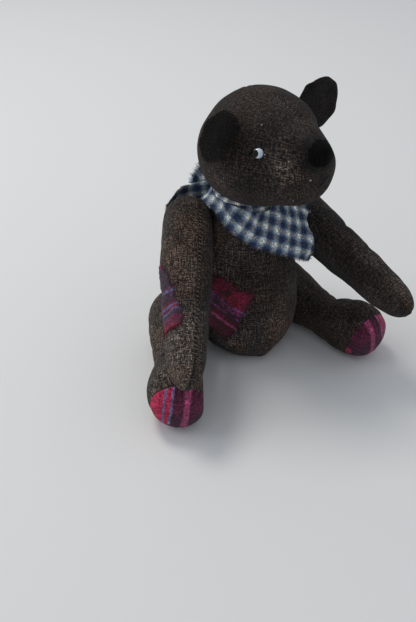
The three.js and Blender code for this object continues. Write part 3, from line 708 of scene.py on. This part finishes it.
for side, seed, worn in (("left", 70, -0.25), ("right", 111, 0.4)):
    form = lathe(LEG_OUTLINE, 140, 120)
    lay_round(form, LEG_ROUND)
    marked(form, worn=limb_worn(worn, 96), sewn=sewn_at((90, -90)))
    reshaped(form, leg_shape(side, seed))
    bmesh.ops.recalc_face_normals(form, faces=form.faces)
    to_joint = FRAMES[f"hip_{side}"]
    pivot, stretch, _ = LEGS[side]
    seam_point = to_joint @ Vector((0, pivot - SOLE_FROM * stretch, 0))
    lean = turn("X", SOLE_TILT) @ Vector((0, -1, 0))
    seam_normal = (to_joint.to_3x3() @ lean).normalized()
    sole = form.copy()
    for part, keep_outer in ((form, False), (sole, True)):
        bmesh.ops.bisect_plane(part, geom=part.verts[:] + part.edges[:] + part.faces[:], plane_co=seam_point,
                               plane_no=seam_normal, clear_outer=not keep_outer, clear_inner=keep_outer)
    back = to_joint.inverted()
    layer = sole.loops.layers.uv["cloth"]
    for face in sole.faces:
        for loop in face.loops:
            spot = back @ loop.vert.co
            loop[layer].uv = (spot.x, spot.z)
    made = piece(f"leg_{side}_skin", form, [BROWN], f"leg_{side}", [f"leg_{side}_cover"])
    stuffed(made, held_at([f"hip_{side}"], floor=1.5, edges=True), 0.6)
    made = piece(f"sole_{side}_plaid", sole, [SOLE], f"leg_{side}", [f"sole_{side}"])

# ---- the body ---------------------------------------------------------------------------------


def body_shape(co):
    radius, angle, z = math.hypot(co.x, co.y), math.atan2(co.x, -co.y), co.z
    skin = Vector((math.sin(angle) * 28, -math.cos(angle) * 28, z + 200))
    keel = KEEL * (1 - fade(z, -2, KEEL_TOP))
    inwards = sum(pucker(wrapped(angle - seam) * radius, z, BODY_PUCKER) for seam in (0, math.pi))
    aside = min(abs(wrapped(angle)), abs(wrapped(angle - math.pi)))
    ridge = math.exp(-aside / math.radians(KEEL_SPREAD))
    radius += min(1, radius / 6) * (lumps(skin, *BODY_LUMPS) + keel * ridge - inwards)
    y = -radius * math.cos(angle) * BODY_DEPTH - BELLY_FORWARD * (1 - fade(z, 15, 70))
    spot = Vector((radius * math.sin(angle), y, at_least(z, 0.05, SOFT)))
    spot.z = -at_least(-spot.z, JOINT_GAP - NECK_Z, SOFT)
    for to_joint in FRAMES.values():
        local = to_joint.inverted() @ spot
        local.x = -at_least(-local.x, JOINT_GAP, SOFT)
        spot = to_joint @ local
    return spot


form = lathe(BODY_OUTLINE, 150, 190)
lay_round(form, BODY_ROUND)
# the lower body is drawn paler, as if more worn: painted bounce light from the floor; the 0.1 all over is wear
marked(form, worn=lambda co: 0.35 * fade(co.z, 60, 10) + 0.1, sewn=sewn_at((90, -90)))
reshaped(form, body_shape)
body_skin = piece("body_skin", form, [BROWN], "torso", ["body_cover"])
stuffed(body_skin, held_at(FRAMES, floor=1.5, above=58), 0.6)

# ---- the head ---------------------------------------------------------------------------------

MUZZLE = aim(0, -MUZZLE_DROP)
HEAD_ROUND = 31  # its radius, for laying cloth and placing the ears' soot
PANEL_SHIFT = 200  # millimetres, so that the two sides are cut from different cloth
MOUTH_STEPS = 30
MOUTH_LINE = [along_curve([Vector(pair) for pair in MOUTH], i / MOUTH_STEPS) for i in range(MOUTH_STEPS + 1)]
EYES = {"left": aim(EYE_TURN, EYE_RISE), "right": aim(-EYE_TURN, EYE_RISE)}


def head_point(direction):
    """The point of the head's plain surface in a direction from its middle."""
    away = math.degrees(direction.angle(MUZZLE))
    share = 1 - fade(away, MUZZLE_FULL, MUZZLE_FADE)
    return Vector(a * b for a, b in zip(direction, HEAD_RADII)) + MUZZLE * (MUZZLE_PUSH * share)


def head_shape(co):
    direction = co.normalized()
    plain = head_point(direction)
    skin = direction * HEAD_ROUND + Vector((0, 0, 300))
    out = lumps(skin, *HEAD_LUMPS)
    behind = fade(plain.y, -22, -6)
    out -= pucker(plain.x, plain.z + plain.y, HEAD_PUCKER) * (0.35 + 0.65 * behind)
    for eye in EYES.values():
        out -= 0.5 * near(plain, head_point(eye), 4.2)
    # the stuffing is pushed up under the nose and is slack below it
    out += 1.2 * near(plain, (1, -40, NOSE_RISE + 2), 8)
    out -= 1.2 * near(plain, (2, -42, -6), 9)
    # a dent in the crown
    out -= near(plain, (-11, -7, 29), 13)
    spot = TO_HEAD @ (plain + direction * out)
    spot.z = at_least(spot.z, NECK_Z + JOINT_GAP, SOFT)
    return spot


def head_cloth(co, centre):
    """Each side of the head is one panel, laid flat outwards from the middle of the cheek."""
    side = 1 if centre.x > 0 else -1
    direction = co.normalized()
    away = math.acos(max(-1, min(1, direction.x * side)))
    round_it = math.atan2(direction.z, -direction.y)
    reach = HEAD_ROUND * away
    return (side * PANEL_SHIFT + reach * math.cos(round_it), reach * math.sin(round_it))


def head_worn(co):
    direction = co.normalized()
    plain = head_point(direction)
    cheek = sum(on_both(plain, (14, -35.5, 5), 9))
    crown = hump(plain.x, 9) * fade(plain.z, 8, 26)
    chin = fade(-plain.z, 12, 26)
    rim = sum(on_both(plain, (29, -4, -12), 9))
    return min(1, 0.9 * cheek + 0.45 * crown + 0.5 * chin + 0.5 * rim) - 0.36


def head_shade(co):
    plain = head_point(co.normalized())
    # the cloth is drawn darker on the muzzle under the nose, and on the jaw
    shade = 0.42 * max(near(plain, (2, -43, -2), 8), *on_both(plain, (24, -21, -5), 9))
    if plain.y < 0:
        # the nose's black runs softly into the cloth round it: its own colour
        wide, high = (size / 2 for size in NOSE_SIZE)
        reach = math.hypot((plain.x - NOSE_ASIDE) / wide, (plain.z - NOSE_RISE) / high)
        shade = max(shade, 0.85 * (1 - fade(reach, 0.9, 1.9)))
        # painted shade in a groove along the mouth thread
        line = min((plain.x - x) ** 2 + (plain.z - z) ** 2 for x, z in MOUTH_LINE)
        shade = max(shade, 0.6 * hump(math.sqrt(line), 1.0))
    # painted shadow in the socket beside each eye
    for eye in EYES.values():
        beside = head_point(eye) + Vector((math.copysign(2.2, eye.x), 2.6, 0.4))
        shade = max(shade, 0.85 * near(plain, beside, 2.0))
    # painted shade round the root of each ear
    for side, rise, _, forward in EARS.values():
        rise = math.radians(rise)
        ear = (side * HEAD_ROUND * math.cos(rise), -forward - 1, HEAD_ROUND * math.sin(rise))
        shade = max(shade, 0.5 * near(plain, ear, 13))
    return shade


form = bmesh.new()
bmesh.ops.create_uvsphere(form, u_segments=200, v_segments=130, radius=1)
form.transform(turn("Y", 90))
lay_by(form, head_cloth)
marked(form, worn=head_worn, shade=head_shade, sewn=lambda co: hump(head_point(co.normalized()).x, 1.5))
reshaped(form, head_shape)
head_skin = piece("head_skin", form, [BROWN], "head", ["head_cover"])
sewn_on = [TO_HEAD @ head_point(eye) for eye in EYES.values()]
stuffed(head_skin, held_at([], floor=NECK_Z + 1, spots=sewn_on), 0.5)
head_surface = surface(head_skin)


def on_head(x, z, lift=0.0):
    """The point of the finished head straight behind (x, z) on the face, in millimetres, and its normal."""
    start = TO_HEAD @ Vector((x, -90, z))
    ahead = (TO_HEAD.to_3x3() @ Vector((0, 1, 0))).normalized()
    spot, normal, _, _ = head_surface.ray_cast(start * MM, ahead)
    return spot / MM + normal * lift, normal


def tube(path, radius):
    """A fine cord along a path in millimetres, as a mesh."""
    curve = bpy.data.curves.new("cord", "CURVE")
    curve.dimensions = "3D"
    curve.bevel_depth = radius * MM
    curve.bevel_resolution = 2
    curve.use_fill_caps = True
    spline = curve.splines.new("POLY")
    spline.points.add(len(path) - 1)
    for point, spot in zip(spline.points, path):
        point.co = (*(spot * MM), 1)
    holder = bpy.data.objects.new("cord_path", curve)
    bpy.context.scene.collection.objects.link(holder)
    bpy.context.view_layer.update()
    form = bmesh.new()
    form.from_mesh(holder.to_mesh())
    bpy.data.objects.remove(holder)
    form.transform(Matrix.Scale(1 / MM, 4))
    return form


# ears: two layers of linen sewn round and turned, slightly cupped and crumpled at the rim
# Degrees round from the side away from the head, and the reach; the base, at 180, is tucked into the head.
EAR_OUTLINES = {
    "ear_left": [(-180, 8.5), (-150, 13.8), (-125, 14.4), (-90, 13.6), (-62, 14.2), (-40, 13.4), (0, 13.6),
                 (38, 13.8), (60, 13.3), (90, 14.2), (112, 15.6), (135, 17.5), (155, 16), (180, 8.5)],
    "ear_right": [(-180, 8.5), (-150, 13), (-125, 14), (-90, 13.4), (-62, 13), (-40, 11.8), (0, 11.6), (38, 12),
                  (60, 12.2), (90, 12.8), (125, 13), (150, 12.6), (180, 8.5)],
}


def ear_shape(outline, side, rise, reach, forward):
    def shape(co):
        angle = math.degrees(math.atan2(co.z, co.x))
        radius = between(outline, angle, 1) + 0.35 * math.sin(math.radians(angle) * 7 + side)
        share = min(1, math.hypot(co.x, co.z))
        flat = Vector((co.x * radius, 0, co.z * radius))
        cup = 1.6 * share**2 + lumps(flat + Vector((side * 50, 0, 0)), (7, 1.0)) * share
        thick = co.y * (1.5 + 0.5 * share)
        local = Vector((flat.x + reach, thick - cup + 0.9, flat.z))
        local = turn("Y", -rise) @ local
        local.y -= forward
        local.x *= side
        return TO_HEAD @ local
    return shape


for name, (side, rise, reach, forward) in EARS.items():
    form = bmesh.new()
    bmesh.ops.create_uvsphere(form, u_segments=72, v_segments=40, radius=1)
    form.transform(turn("X", 90))
    lay_by(form, lambda co, centre: (co.x * 13 + (40 if centre.y > 0 else 0), co.z * 13))
    marked(form, worn=lambda co: 0.5 * fade(math.hypot(co.x, co.z), 0.8, 1.0) - 0.1)
    reshaped(form, ear_shape(EAR_OUTLINES[name], side, rise, reach, forward))
    bmesh.ops.recalc_face_normals(form, faces=form.faces)
    made = piece(f"{name}_cloth", form, [BLACK], "head", [name])

# eyes: a milk-glass button with a jet bead set off centre, so that the bear looks aside
EYE_PROFILE = [(0, 1.3), (1.0, 1.2), (1.8, 0.85), (2.3, 0.3), (2.45, -0.1), (2.2, -0.7), (0, -0.9)]
PUPIL_PROFILE = [(0, 1.0), (0.85, 0.88), (1.5, 0.5), (1.8, 0.0), (1.6, -0.5), (0, -0.8)]
# How far each eye is drawn into the head, and how far up it sits: the thread pulled the left one in deeper.
EYE_SEATS = {"left": (1.2, -0.5), "right": (0.3, 0.7)}
for side, direction in EYES.items():
    out = Vector(a / b for a, b in zip(direction, HEAD_RADII)).normalized()
    upright = out.to_track_quat("Z", "Y").to_matrix().to_4x4()
    across = Vector((math.copysign(1, direction.x), 0.45, 0)).normalized()
    across = (across - out * across.dot(out)).normalized()
    sunk, raised = EYE_SEATS[side]
    seat = head_point(direction) - out * sunk + Vector((0, 0, raised))
    for part, profile, shift, lift, material, stands_for in (
            ("eye", EYE_PROFILE, 0.0, 0.0, EYE_WHITE, [f"eye_{side}"]),
            ("pupil", PUPIL_PROFILE, 1.4, 0.75, EYE_BLACK, [])):
        form = lathe(profile[::-1], 24, 40)
        form.transform(TO_HEAD @ Matrix.Translation(seat + across * shift + out * lift) @ upright)
        bmesh.ops.recalc_face_normals(form, faces=form.faces)
        piece(f"{part}_{side}_glass", form, [material], "head", stands_for)

# nose: a soft pad of black wool, worked in upright stitches
form = bmesh.new()
bmesh.ops.create_uvsphere(form, u_segments=90, v_segments=36, radius=1)
lay_by(form, lambda co, centre: (co.x * 8, co.y * 5))


def nose_shape(co):
    share = math.hypot(co.x, co.y)
    ragged = 1 + 0.1 * noise.noise(Vector((co.x, co.y, 0)) * 4)
    x, z = NOSE_ASIDE + co.x * NOSE_SIZE[0] / 2 * ragged, NOSE_RISE + co.y * NOSE_SIZE[1] / 2 * ragged
    stitch = 0.07 * math.sin(x * 2 * math.pi / 0.75) * (1 - share**4)
    lift = 0.75 * co.z**1.5 + stitch if co.z > 0 else 0.4 * co.z
    spot, _ = on_head(x, z, lift - 0.1)
    return spot


reshaped(form, nose_shape)
bmesh.ops.recalc_face_normals(form, faces=form.faces)
made = piece("nose_wool", form, [NOSE_WOOL], "head", ["nose"])

# mouth: one drawn thread, dipping in the middle
path = [on_head(x, z, 0.15)[0] for x, z in MOUTH_LINE]
form = tube(path, 0.42)
piece("mouth_thread", form, [THREAD], "head", ["mouth_stitches"])
# lint: (across, up, size) of single pale fibres
form = bmesh.new()
for x, z, size in ((-6.9, -0.4, 0.62), (-17.0, 21.0, 0.4), (-11.5, -12.0, 0.4), (-20.0, 9.0, 0.35)):
    spot, normal = on_head(x, z, 0.1)
    turned = normal.to_track_quat("Z", "Y").to_matrix().to_4x4()
    flat = Matrix.Diagonal((size, size * 0.7, size * 0.45, 1))
    bmesh.ops.create_icosphere(form, subdivisions=2, radius=1, matrix=Matrix.Translation(spot) @ turned @ flat)
piece("lint_specks", form, [PALE_THREAD], "head")

# ---- patches ----------------------------------------------------------------------------------


def inside(outline, x, y):
    """How far inside a convex-ish outline a point is, negative outside."""
    best = 1e9
    crossings = 0
    for (x0, y0), (x1, y1) in zip(outline, outline[1:] + outline[:1]):
        dx, dy = x1 - x0, y1 - y0
        t = max(0, min(1, ((x - x0) * dx + (y - y0) * dy) / (dx * dx + dy * dy)))
        best = min(best, math.hypot(x - x0 - t * dx, y - y0 - t * dy))
        if (y0 > y) != (y1 > y) and x < x0 + (y - y0) / (y1 - y0) * (x1 - x0):
            crossings += 1
    return best if crossings % 2 else -best


PATCH_GRID = 0.55  # millimetres between its points
PATCH_LIFT = 0.35  # off the skin
PATCH_THICK = 0.4
STRAND = 0.17  # radius of a loose thread


def patch(name, outline, to_world, tree, material, body, replaces):
    """A raw-edged patch laid on a skin: outline is on a plane that looks along +Y of to_world."""
    xs, ys = [p[0] for p in outline], [p[1] for p in outline]
    middle = Vector(((min(xs) + max(xs)) / 2, (min(ys) + max(ys)) / 2, 0))
    half = max(max(xs) - min(xs), max(ys) - min(ys)) / 2 + 1
    form = bmesh.new()
    steps = int(half * 2 / PATCH_GRID)
    bmesh.ops.create_grid(form, x_segments=steps, y_segments=steps, size=half, matrix=Matrix.Translation(middle))

    def ragged(co):
        return inside(outline, co.x, co.y) + 0.9 * noise.noise(co * 0.9) + 0.5 * noise.noise(co * 2.6)

    bmesh.ops.delete(form, geom=[v for v in form.verts if ragged(v.co) < 0], context="VERTS")
    lay_by(form, lambda co, centre: (co.x, co.y))
    edge = {v for e in form.edges if e.is_boundary for v in e.verts}
    ahead = (to_world.to_3x3() @ Vector((0, 1, 0))).normalized()

    def place(co, extra=0.0):
        start = to_world @ Vector((co.x, -80, co.y))
        spot, normal, _, _ = tree.ray_cast(start * MM, ahead)
        if spot is None:
            return None
        return spot / MM + normal * (PATCH_LIFT + extra + 0.12 * noise.noise(co * 0.35))

    frays = bmesh.new()
    uv_frays = frays.loops.layers.uv.new("cloth")
    centre = Vector((sum(xs) / len(xs), sum(ys) / len(ys), 0))
    for v in sorted(edge, key=lambda v: (round(v.co.x, 3), round(v.co.y, 3))):
        if random.random() < 0.9:
            away = (v.co - centre).normalized()
            away = Matrix.Rotation(random.uniform(-0.7, 0.7), 3, "Z") @ away
            root, tip = place(v.co - away * 0.5, 0.1), place(v.co + away * random.uniform(0.6, 2.4), 0.2)
            if root is None or tip is None or (tip - root).length > 4:
                continue
            strand(frays, uv_frays, root, tip, (v.co.x, v.co.y))
    gone = []
    for v in form.verts:
        spot = place(v.co.copy(), 0.25 if v in edge and random.random() < 0.3 else 0)
        if spot is None:
            gone.append(v)
        else:
            v.co = spot
    bmesh.ops.delete(form, geom=gone, context="VERTS")
    bmesh.ops.recalc_face_normals(form, faces=form.faces)
    made = piece(name, form, [material], body, replaces)
    thick = made.modifiers.new("cloth", "SOLIDIFY")
    thick.thickness = PATCH_THICK * MM
    thick.offset = 0.0
    fray = piece(f"{name}_frays", frays, [material], body)


def strand(form, layer, root, tip, uv):
    """One loose thread as a thin three-sided spike."""
    line = tip - root
    if line.length < 0.05:
        return
    turned = line.to_track_quat("Z", "Y").to_matrix().to_4x4()
    made = bmesh.ops.create_cone(form, segments=3, radius1=STRAND, radius2=STRAND * 0.5, depth=line.length,
                                 cap_ends=True, matrix=Matrix.Translation((root + tip) / 2) @ turned)
    for face in {f for v in made["verts"] for f in v.link_faces}:
        for loop in face.loops:
            loop[layer].uv = uv


BELLY_PATCH = [(-12, 31), (-11, 55), (-2, 57), (4, 54.5), (8.5, 51), (15.3, 49.5), (15.2, 44.5), (12.4, 40),
               (10.2, 34), (9, 27), (2, 18.5), (-9, 24.5)]
patch("belly_plaid_patch", BELLY_PATCH, turn("Z", -50), surface(body_skin), BELLY, "torso",
      ["belly_patch"])

ELBOW_PATCH = [(27, -6), (28, -1), (32, 2), (40, 5), (52, 7.8), (58, 9.8), (62, 9.5), (65.5, 7), (66.5, 0), (65, -8),
               (40, -8)]
DOWN_ARM = Matrix(((0, -1, 0, ARM_STANDOFF), (-1, 0, 0, 0), (0, 0, 1, 0), (0, 0, 0, 1)))
patch("elbow_plaid_patch", ELBOW_PATCH, FRAMES["shoulder_right"] @ DOWN_ARM, surface(PIECES["arm_right_skin"]),
      ELBOW, "arm_right", ["elbow_patch"])

# ---- the scarf --------------------------------------------------------------------------------

BODY_CURVE = smooth_curve(BODY_OUTLINE, 200)
SCARF_THICK = 0.5


def body_ring(around, height, off):
    """A point this many degrees round to the bear's left, standing off the body at this height."""
    for (start, low), (end, high) in zip(BODY_CURVE, BODY_CURVE[1:]):
        if low <= height <= high:
            radius = start + (end - start) * (height - low) / max(high - low, 1e-6)
    return aim(around, 0) * (radius + off) + Vector((0, 0, height))


def column(low, high):
    """Five points up a strip that lies on the body, from its lower to its upper edge."""
    return [body_ring(*(a + (b - a) * i / 4 for a, b in zip(low, high))) for i in range(5)]


def at_points(*places):
    return [Vector(place) for place in places]


# The scarf's front fold, from behind the bear's neck round its right side to the raw end over its left shoulder.
# Each column of points runs from the lower to the upper edge.
FOLD = [
    column((-185, 87, 2), (-185, 94, 2)),
    column((-150, 86, 5), (-150, 96, 3)),
    column((-130, 87.5, 6.5), (-127, 97, 4)),
    column((-112, 90.2, 5.8), (-108, 96.8, 3.4)),
    column((-98, 90.4, 4.3), (-93, 96, 2.4)),
    column((-80, 89.2, 2.3), (-74, 95.3, 1.8)),
    column((-60, 84.8, 1.5), (-47, 94.3, 1.9)),
    column((-43, 81.3, 1.4), (-19, 92.6, 1.9)),
    column((-24, 76.8, 1.6), (-4, 91.2, 2.2)),
    column((-8, 73.8, 2.0), (14, 91.4, 2.6)),
    column((8, 70.3, 3.4), (36, 93.5, 5.5)),
    column((28, 64.8, 8.5), (56, 92.5, 10.5)),
    at_points((25, -28.5, 60.5), (27.8, -29.3, 73.5), (29.6, -19.3, 84), (31, -11, 88.5), (30, -3, 91)),
]
# The inner turn that hugs the neck and rolls over at its top, from (height, distance off the body).
BAND_ROLL = ((88, 0.5), (92, 0.6), (95.5, 0.9), (97.3, 1.6), (97, 2.6), (95.8, 3))
BAND = [[body_ring(around, height, off) for height, off in BAND_ROLL] for around in range(-180, 181, 30)]
# The two ends, behind the bear's right shoulder: one lies out over the shoulder, one stands up beside the neck.
END_OVER = [
    at_points((-9, 19, 84), (-9.5, 19.5, 89.5), (-11, 19.5, 95.5)),
    at_points((-19, 24, 83), (-20, 24, 88.5), (-20.5, 22.5, 94.2)),
    at_points((-27, 26, 82), (-27.5, 25, 88), (-28, 22.5, 93.6)),
    at_points((-31, 25.5, 80.5), (-31.5, 25, 85.2), (-32, 22.3, 89.8)),
    at_points((-33.5, 24.5, 80.3), (-34.6, 23.5, 83), (-35.5, 21.5, 86.6)),
]
END_UP = [
    at_points((-4, 17.5, 91), (-6, 19, 89.5), (-9, 19.5, 88)),
    at_points((-9, 20, 97), (-11.5, 22, 93.5), (-14.5, 22, 91)),
    at_points((-14, 24.5, 103), (-17, 25.5, 98.5), (-19.5, 25, 93.5)),
]

form = bmesh.new()
layer = form.loops.layers.uv.new("cloth")
frays = bmesh.new()
fray_layer = frays.loops.layers.uv.new("cloth")


def fringe(root, away, uv, count, longest):
    """Loose threads at a raw edge."""
    for _ in range(count):
        jitter = Vector([random.uniform(-0.45, 0.45) for _ in range(3)])
        tip = root + (away.normalized() + jitter) * random.uniform(0.4, longest)
        strand(frays, fray_layer, root - away.normalized() * 0.4, tip, uv)


def strip(columns, across, up, ruffle, low_frays=0, end_frays=0):
    """A stretch of cloth through columns of points; its cloth coordinates are lengths along its lower edge and up."""
    rows = []
    for j in range(up + 1):
        line = [along_curve(points, j / up) for points in columns]
        rows.append([along_curve(line, i / across) for i in range(across + 1)])
    along = [0.0]
    for a, b in zip(rows[0], rows[0][1:]):
        along.append(along[-1] + (b - a).length)
    heights = [[0.0] * (across + 1)]
    for low, high in zip(rows, rows[1:]):
        heights.append([h + (b - a).length for h, a, b in zip(heights[-1], low, high)])
    verts = []
    for j, row in enumerate(rows):
        made_row = []
        for i, spot in enumerate(row):
            beside = row[min(i + 1, across)] - row[max(i - 1, 0)]
            above = rows[min(j + 1, up)][i] - rows[max(j - 1, 0)][i]
            normal = beside.cross(above).normalized()
            wave = noise.noise(Vector((along[i] / 7, heights[j][i] / 11, ruffle * 9))) * ruffle
            made_row.append(form.verts.new(spot + normal * (wave + ruffle * 0.3)))
        verts.append(made_row)
    for j in range(up):
        for i in range(across):
            corners = ((i, j), (i + 1, j), (i + 1, j + 1), (i, j + 1))
            face = form.faces.new([verts[b][a] for a, b in corners])
            for loop, (a, b) in zip(face.loops, corners):
                loop[layer].uv = (along[a], heights[b][a])
    for i in range(across + 1):
        fringe(verts[0][i].co, rows[0][i] - rows[1][i], (along[i], 0.2), low_frays, 1.3)
    for j in range(up + 1):
        fringe(verts[j][-1].co, rows[j][-1] - rows[j][-2], (along[-1], heights[j][-1]), end_frays, 2.2)


strip(FOLD, 260, 60, 0.5, low_frays=3, end_frays=3)
strip(BAND, 150, 14, 0.35)
strip(END_OVER, 60, 36, 0.7, low_frays=2, end_frays=6)
strip(END_UP, 40, 24, 0.5, low_frays=2, end_frays=4)
made = piece("scarf_cloth", form, [SCARF], None, ["scarf"])
thick = made.modifiers.new("cloth", "SOLIDIFY")
thick.thickness = SCARF_THICK * MM
thick.offset = 0.0
fray = piece("scarf_frays", frays, [SCARF], None)
# the raw end lies over the left arm's shoulder, but the scarf rides on no body: its place is baked into its mesh
for cloth in (made, fray):
    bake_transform(cloth)

# ---- hidden parts keep their shapes, with their own materials -----------------------------------

HIDDEN = {"filling": FILLING, "disc": BOARD, "washer": WIRE, "pin": WIRE}
for name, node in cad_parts.items():
    kind = name.rsplit("_", 1)[-1]
    if kind in HIDDEN:
        node.data.materials.clear()
        node.data.materials.append(HIDDEN[kind])

# ---- floor, light and camera --------------------------------------------------------------------

bpy.ops.mesh.primitive_plane_add(size=6, location=(0, 0, 0))
floor = bpy.context.object
floor.name = "floor"
floor.data.materials.append(new_material("matt_white_sheet", 0.9, Base_Color=colour("#e4e4e2"))[0])

world = bpy.data.worlds.new("soft_room")
bpy.context.scene.world = world
world.use_nodes = True
sky = world.node_tree.nodes["Background"].inputs
sky["Color"].default_value = colour("#dfe5ee")
sky["Strength"].default_value = 0.62


def lamp(name, place, target, size, power, tint):
    data = bpy.data.lights.new(name, "AREA")
    data.shape = "DISK"
    data.size = size
    data.energy = power
    data.color = colour(tint)[:3]
    made = bpy.data.objects.new(name, data)
    bpy.context.scene.collection.objects.link(made)
    made.location = place
    made.rotation_euler = (Vector(place) - Vector(target)).to_track_quat("Z", "Y").to_euler()


lamp("window", (-0.2, 0.52, 1.2), (0, 0, 0.06), 0.45, 5.2, "#fff9f0")
lamp("white_wall", (-0.95, 0.5, 0.75), (0, 0, 0.06), 0.9, 3.6, "#f4f6fb")

CAMERA_AT = (-0.2076, -0.3482, 0.305)
CAMERA_AZIMUTH = -28.0
CAMERA_DOWN = 35.5
LENS = 48.617
camera = bpy.data.objects.new("camera", bpy.data.cameras.new("camera"))
bpy.context.scene.collection.objects.link(camera)
camera.location = CAMERA_AT
camera.rotation_euler = (math.radians(90 - CAMERA_DOWN), 0, math.radians(CAMERA_AZIMUTH))
camera.data.lens = LENS
camera.data.sensor_width = 36
camera.data.clip_start = 0.01
bpy.context.scene.camera = camera
bpy.context.scene.view_settings.view_transform = "Standard"
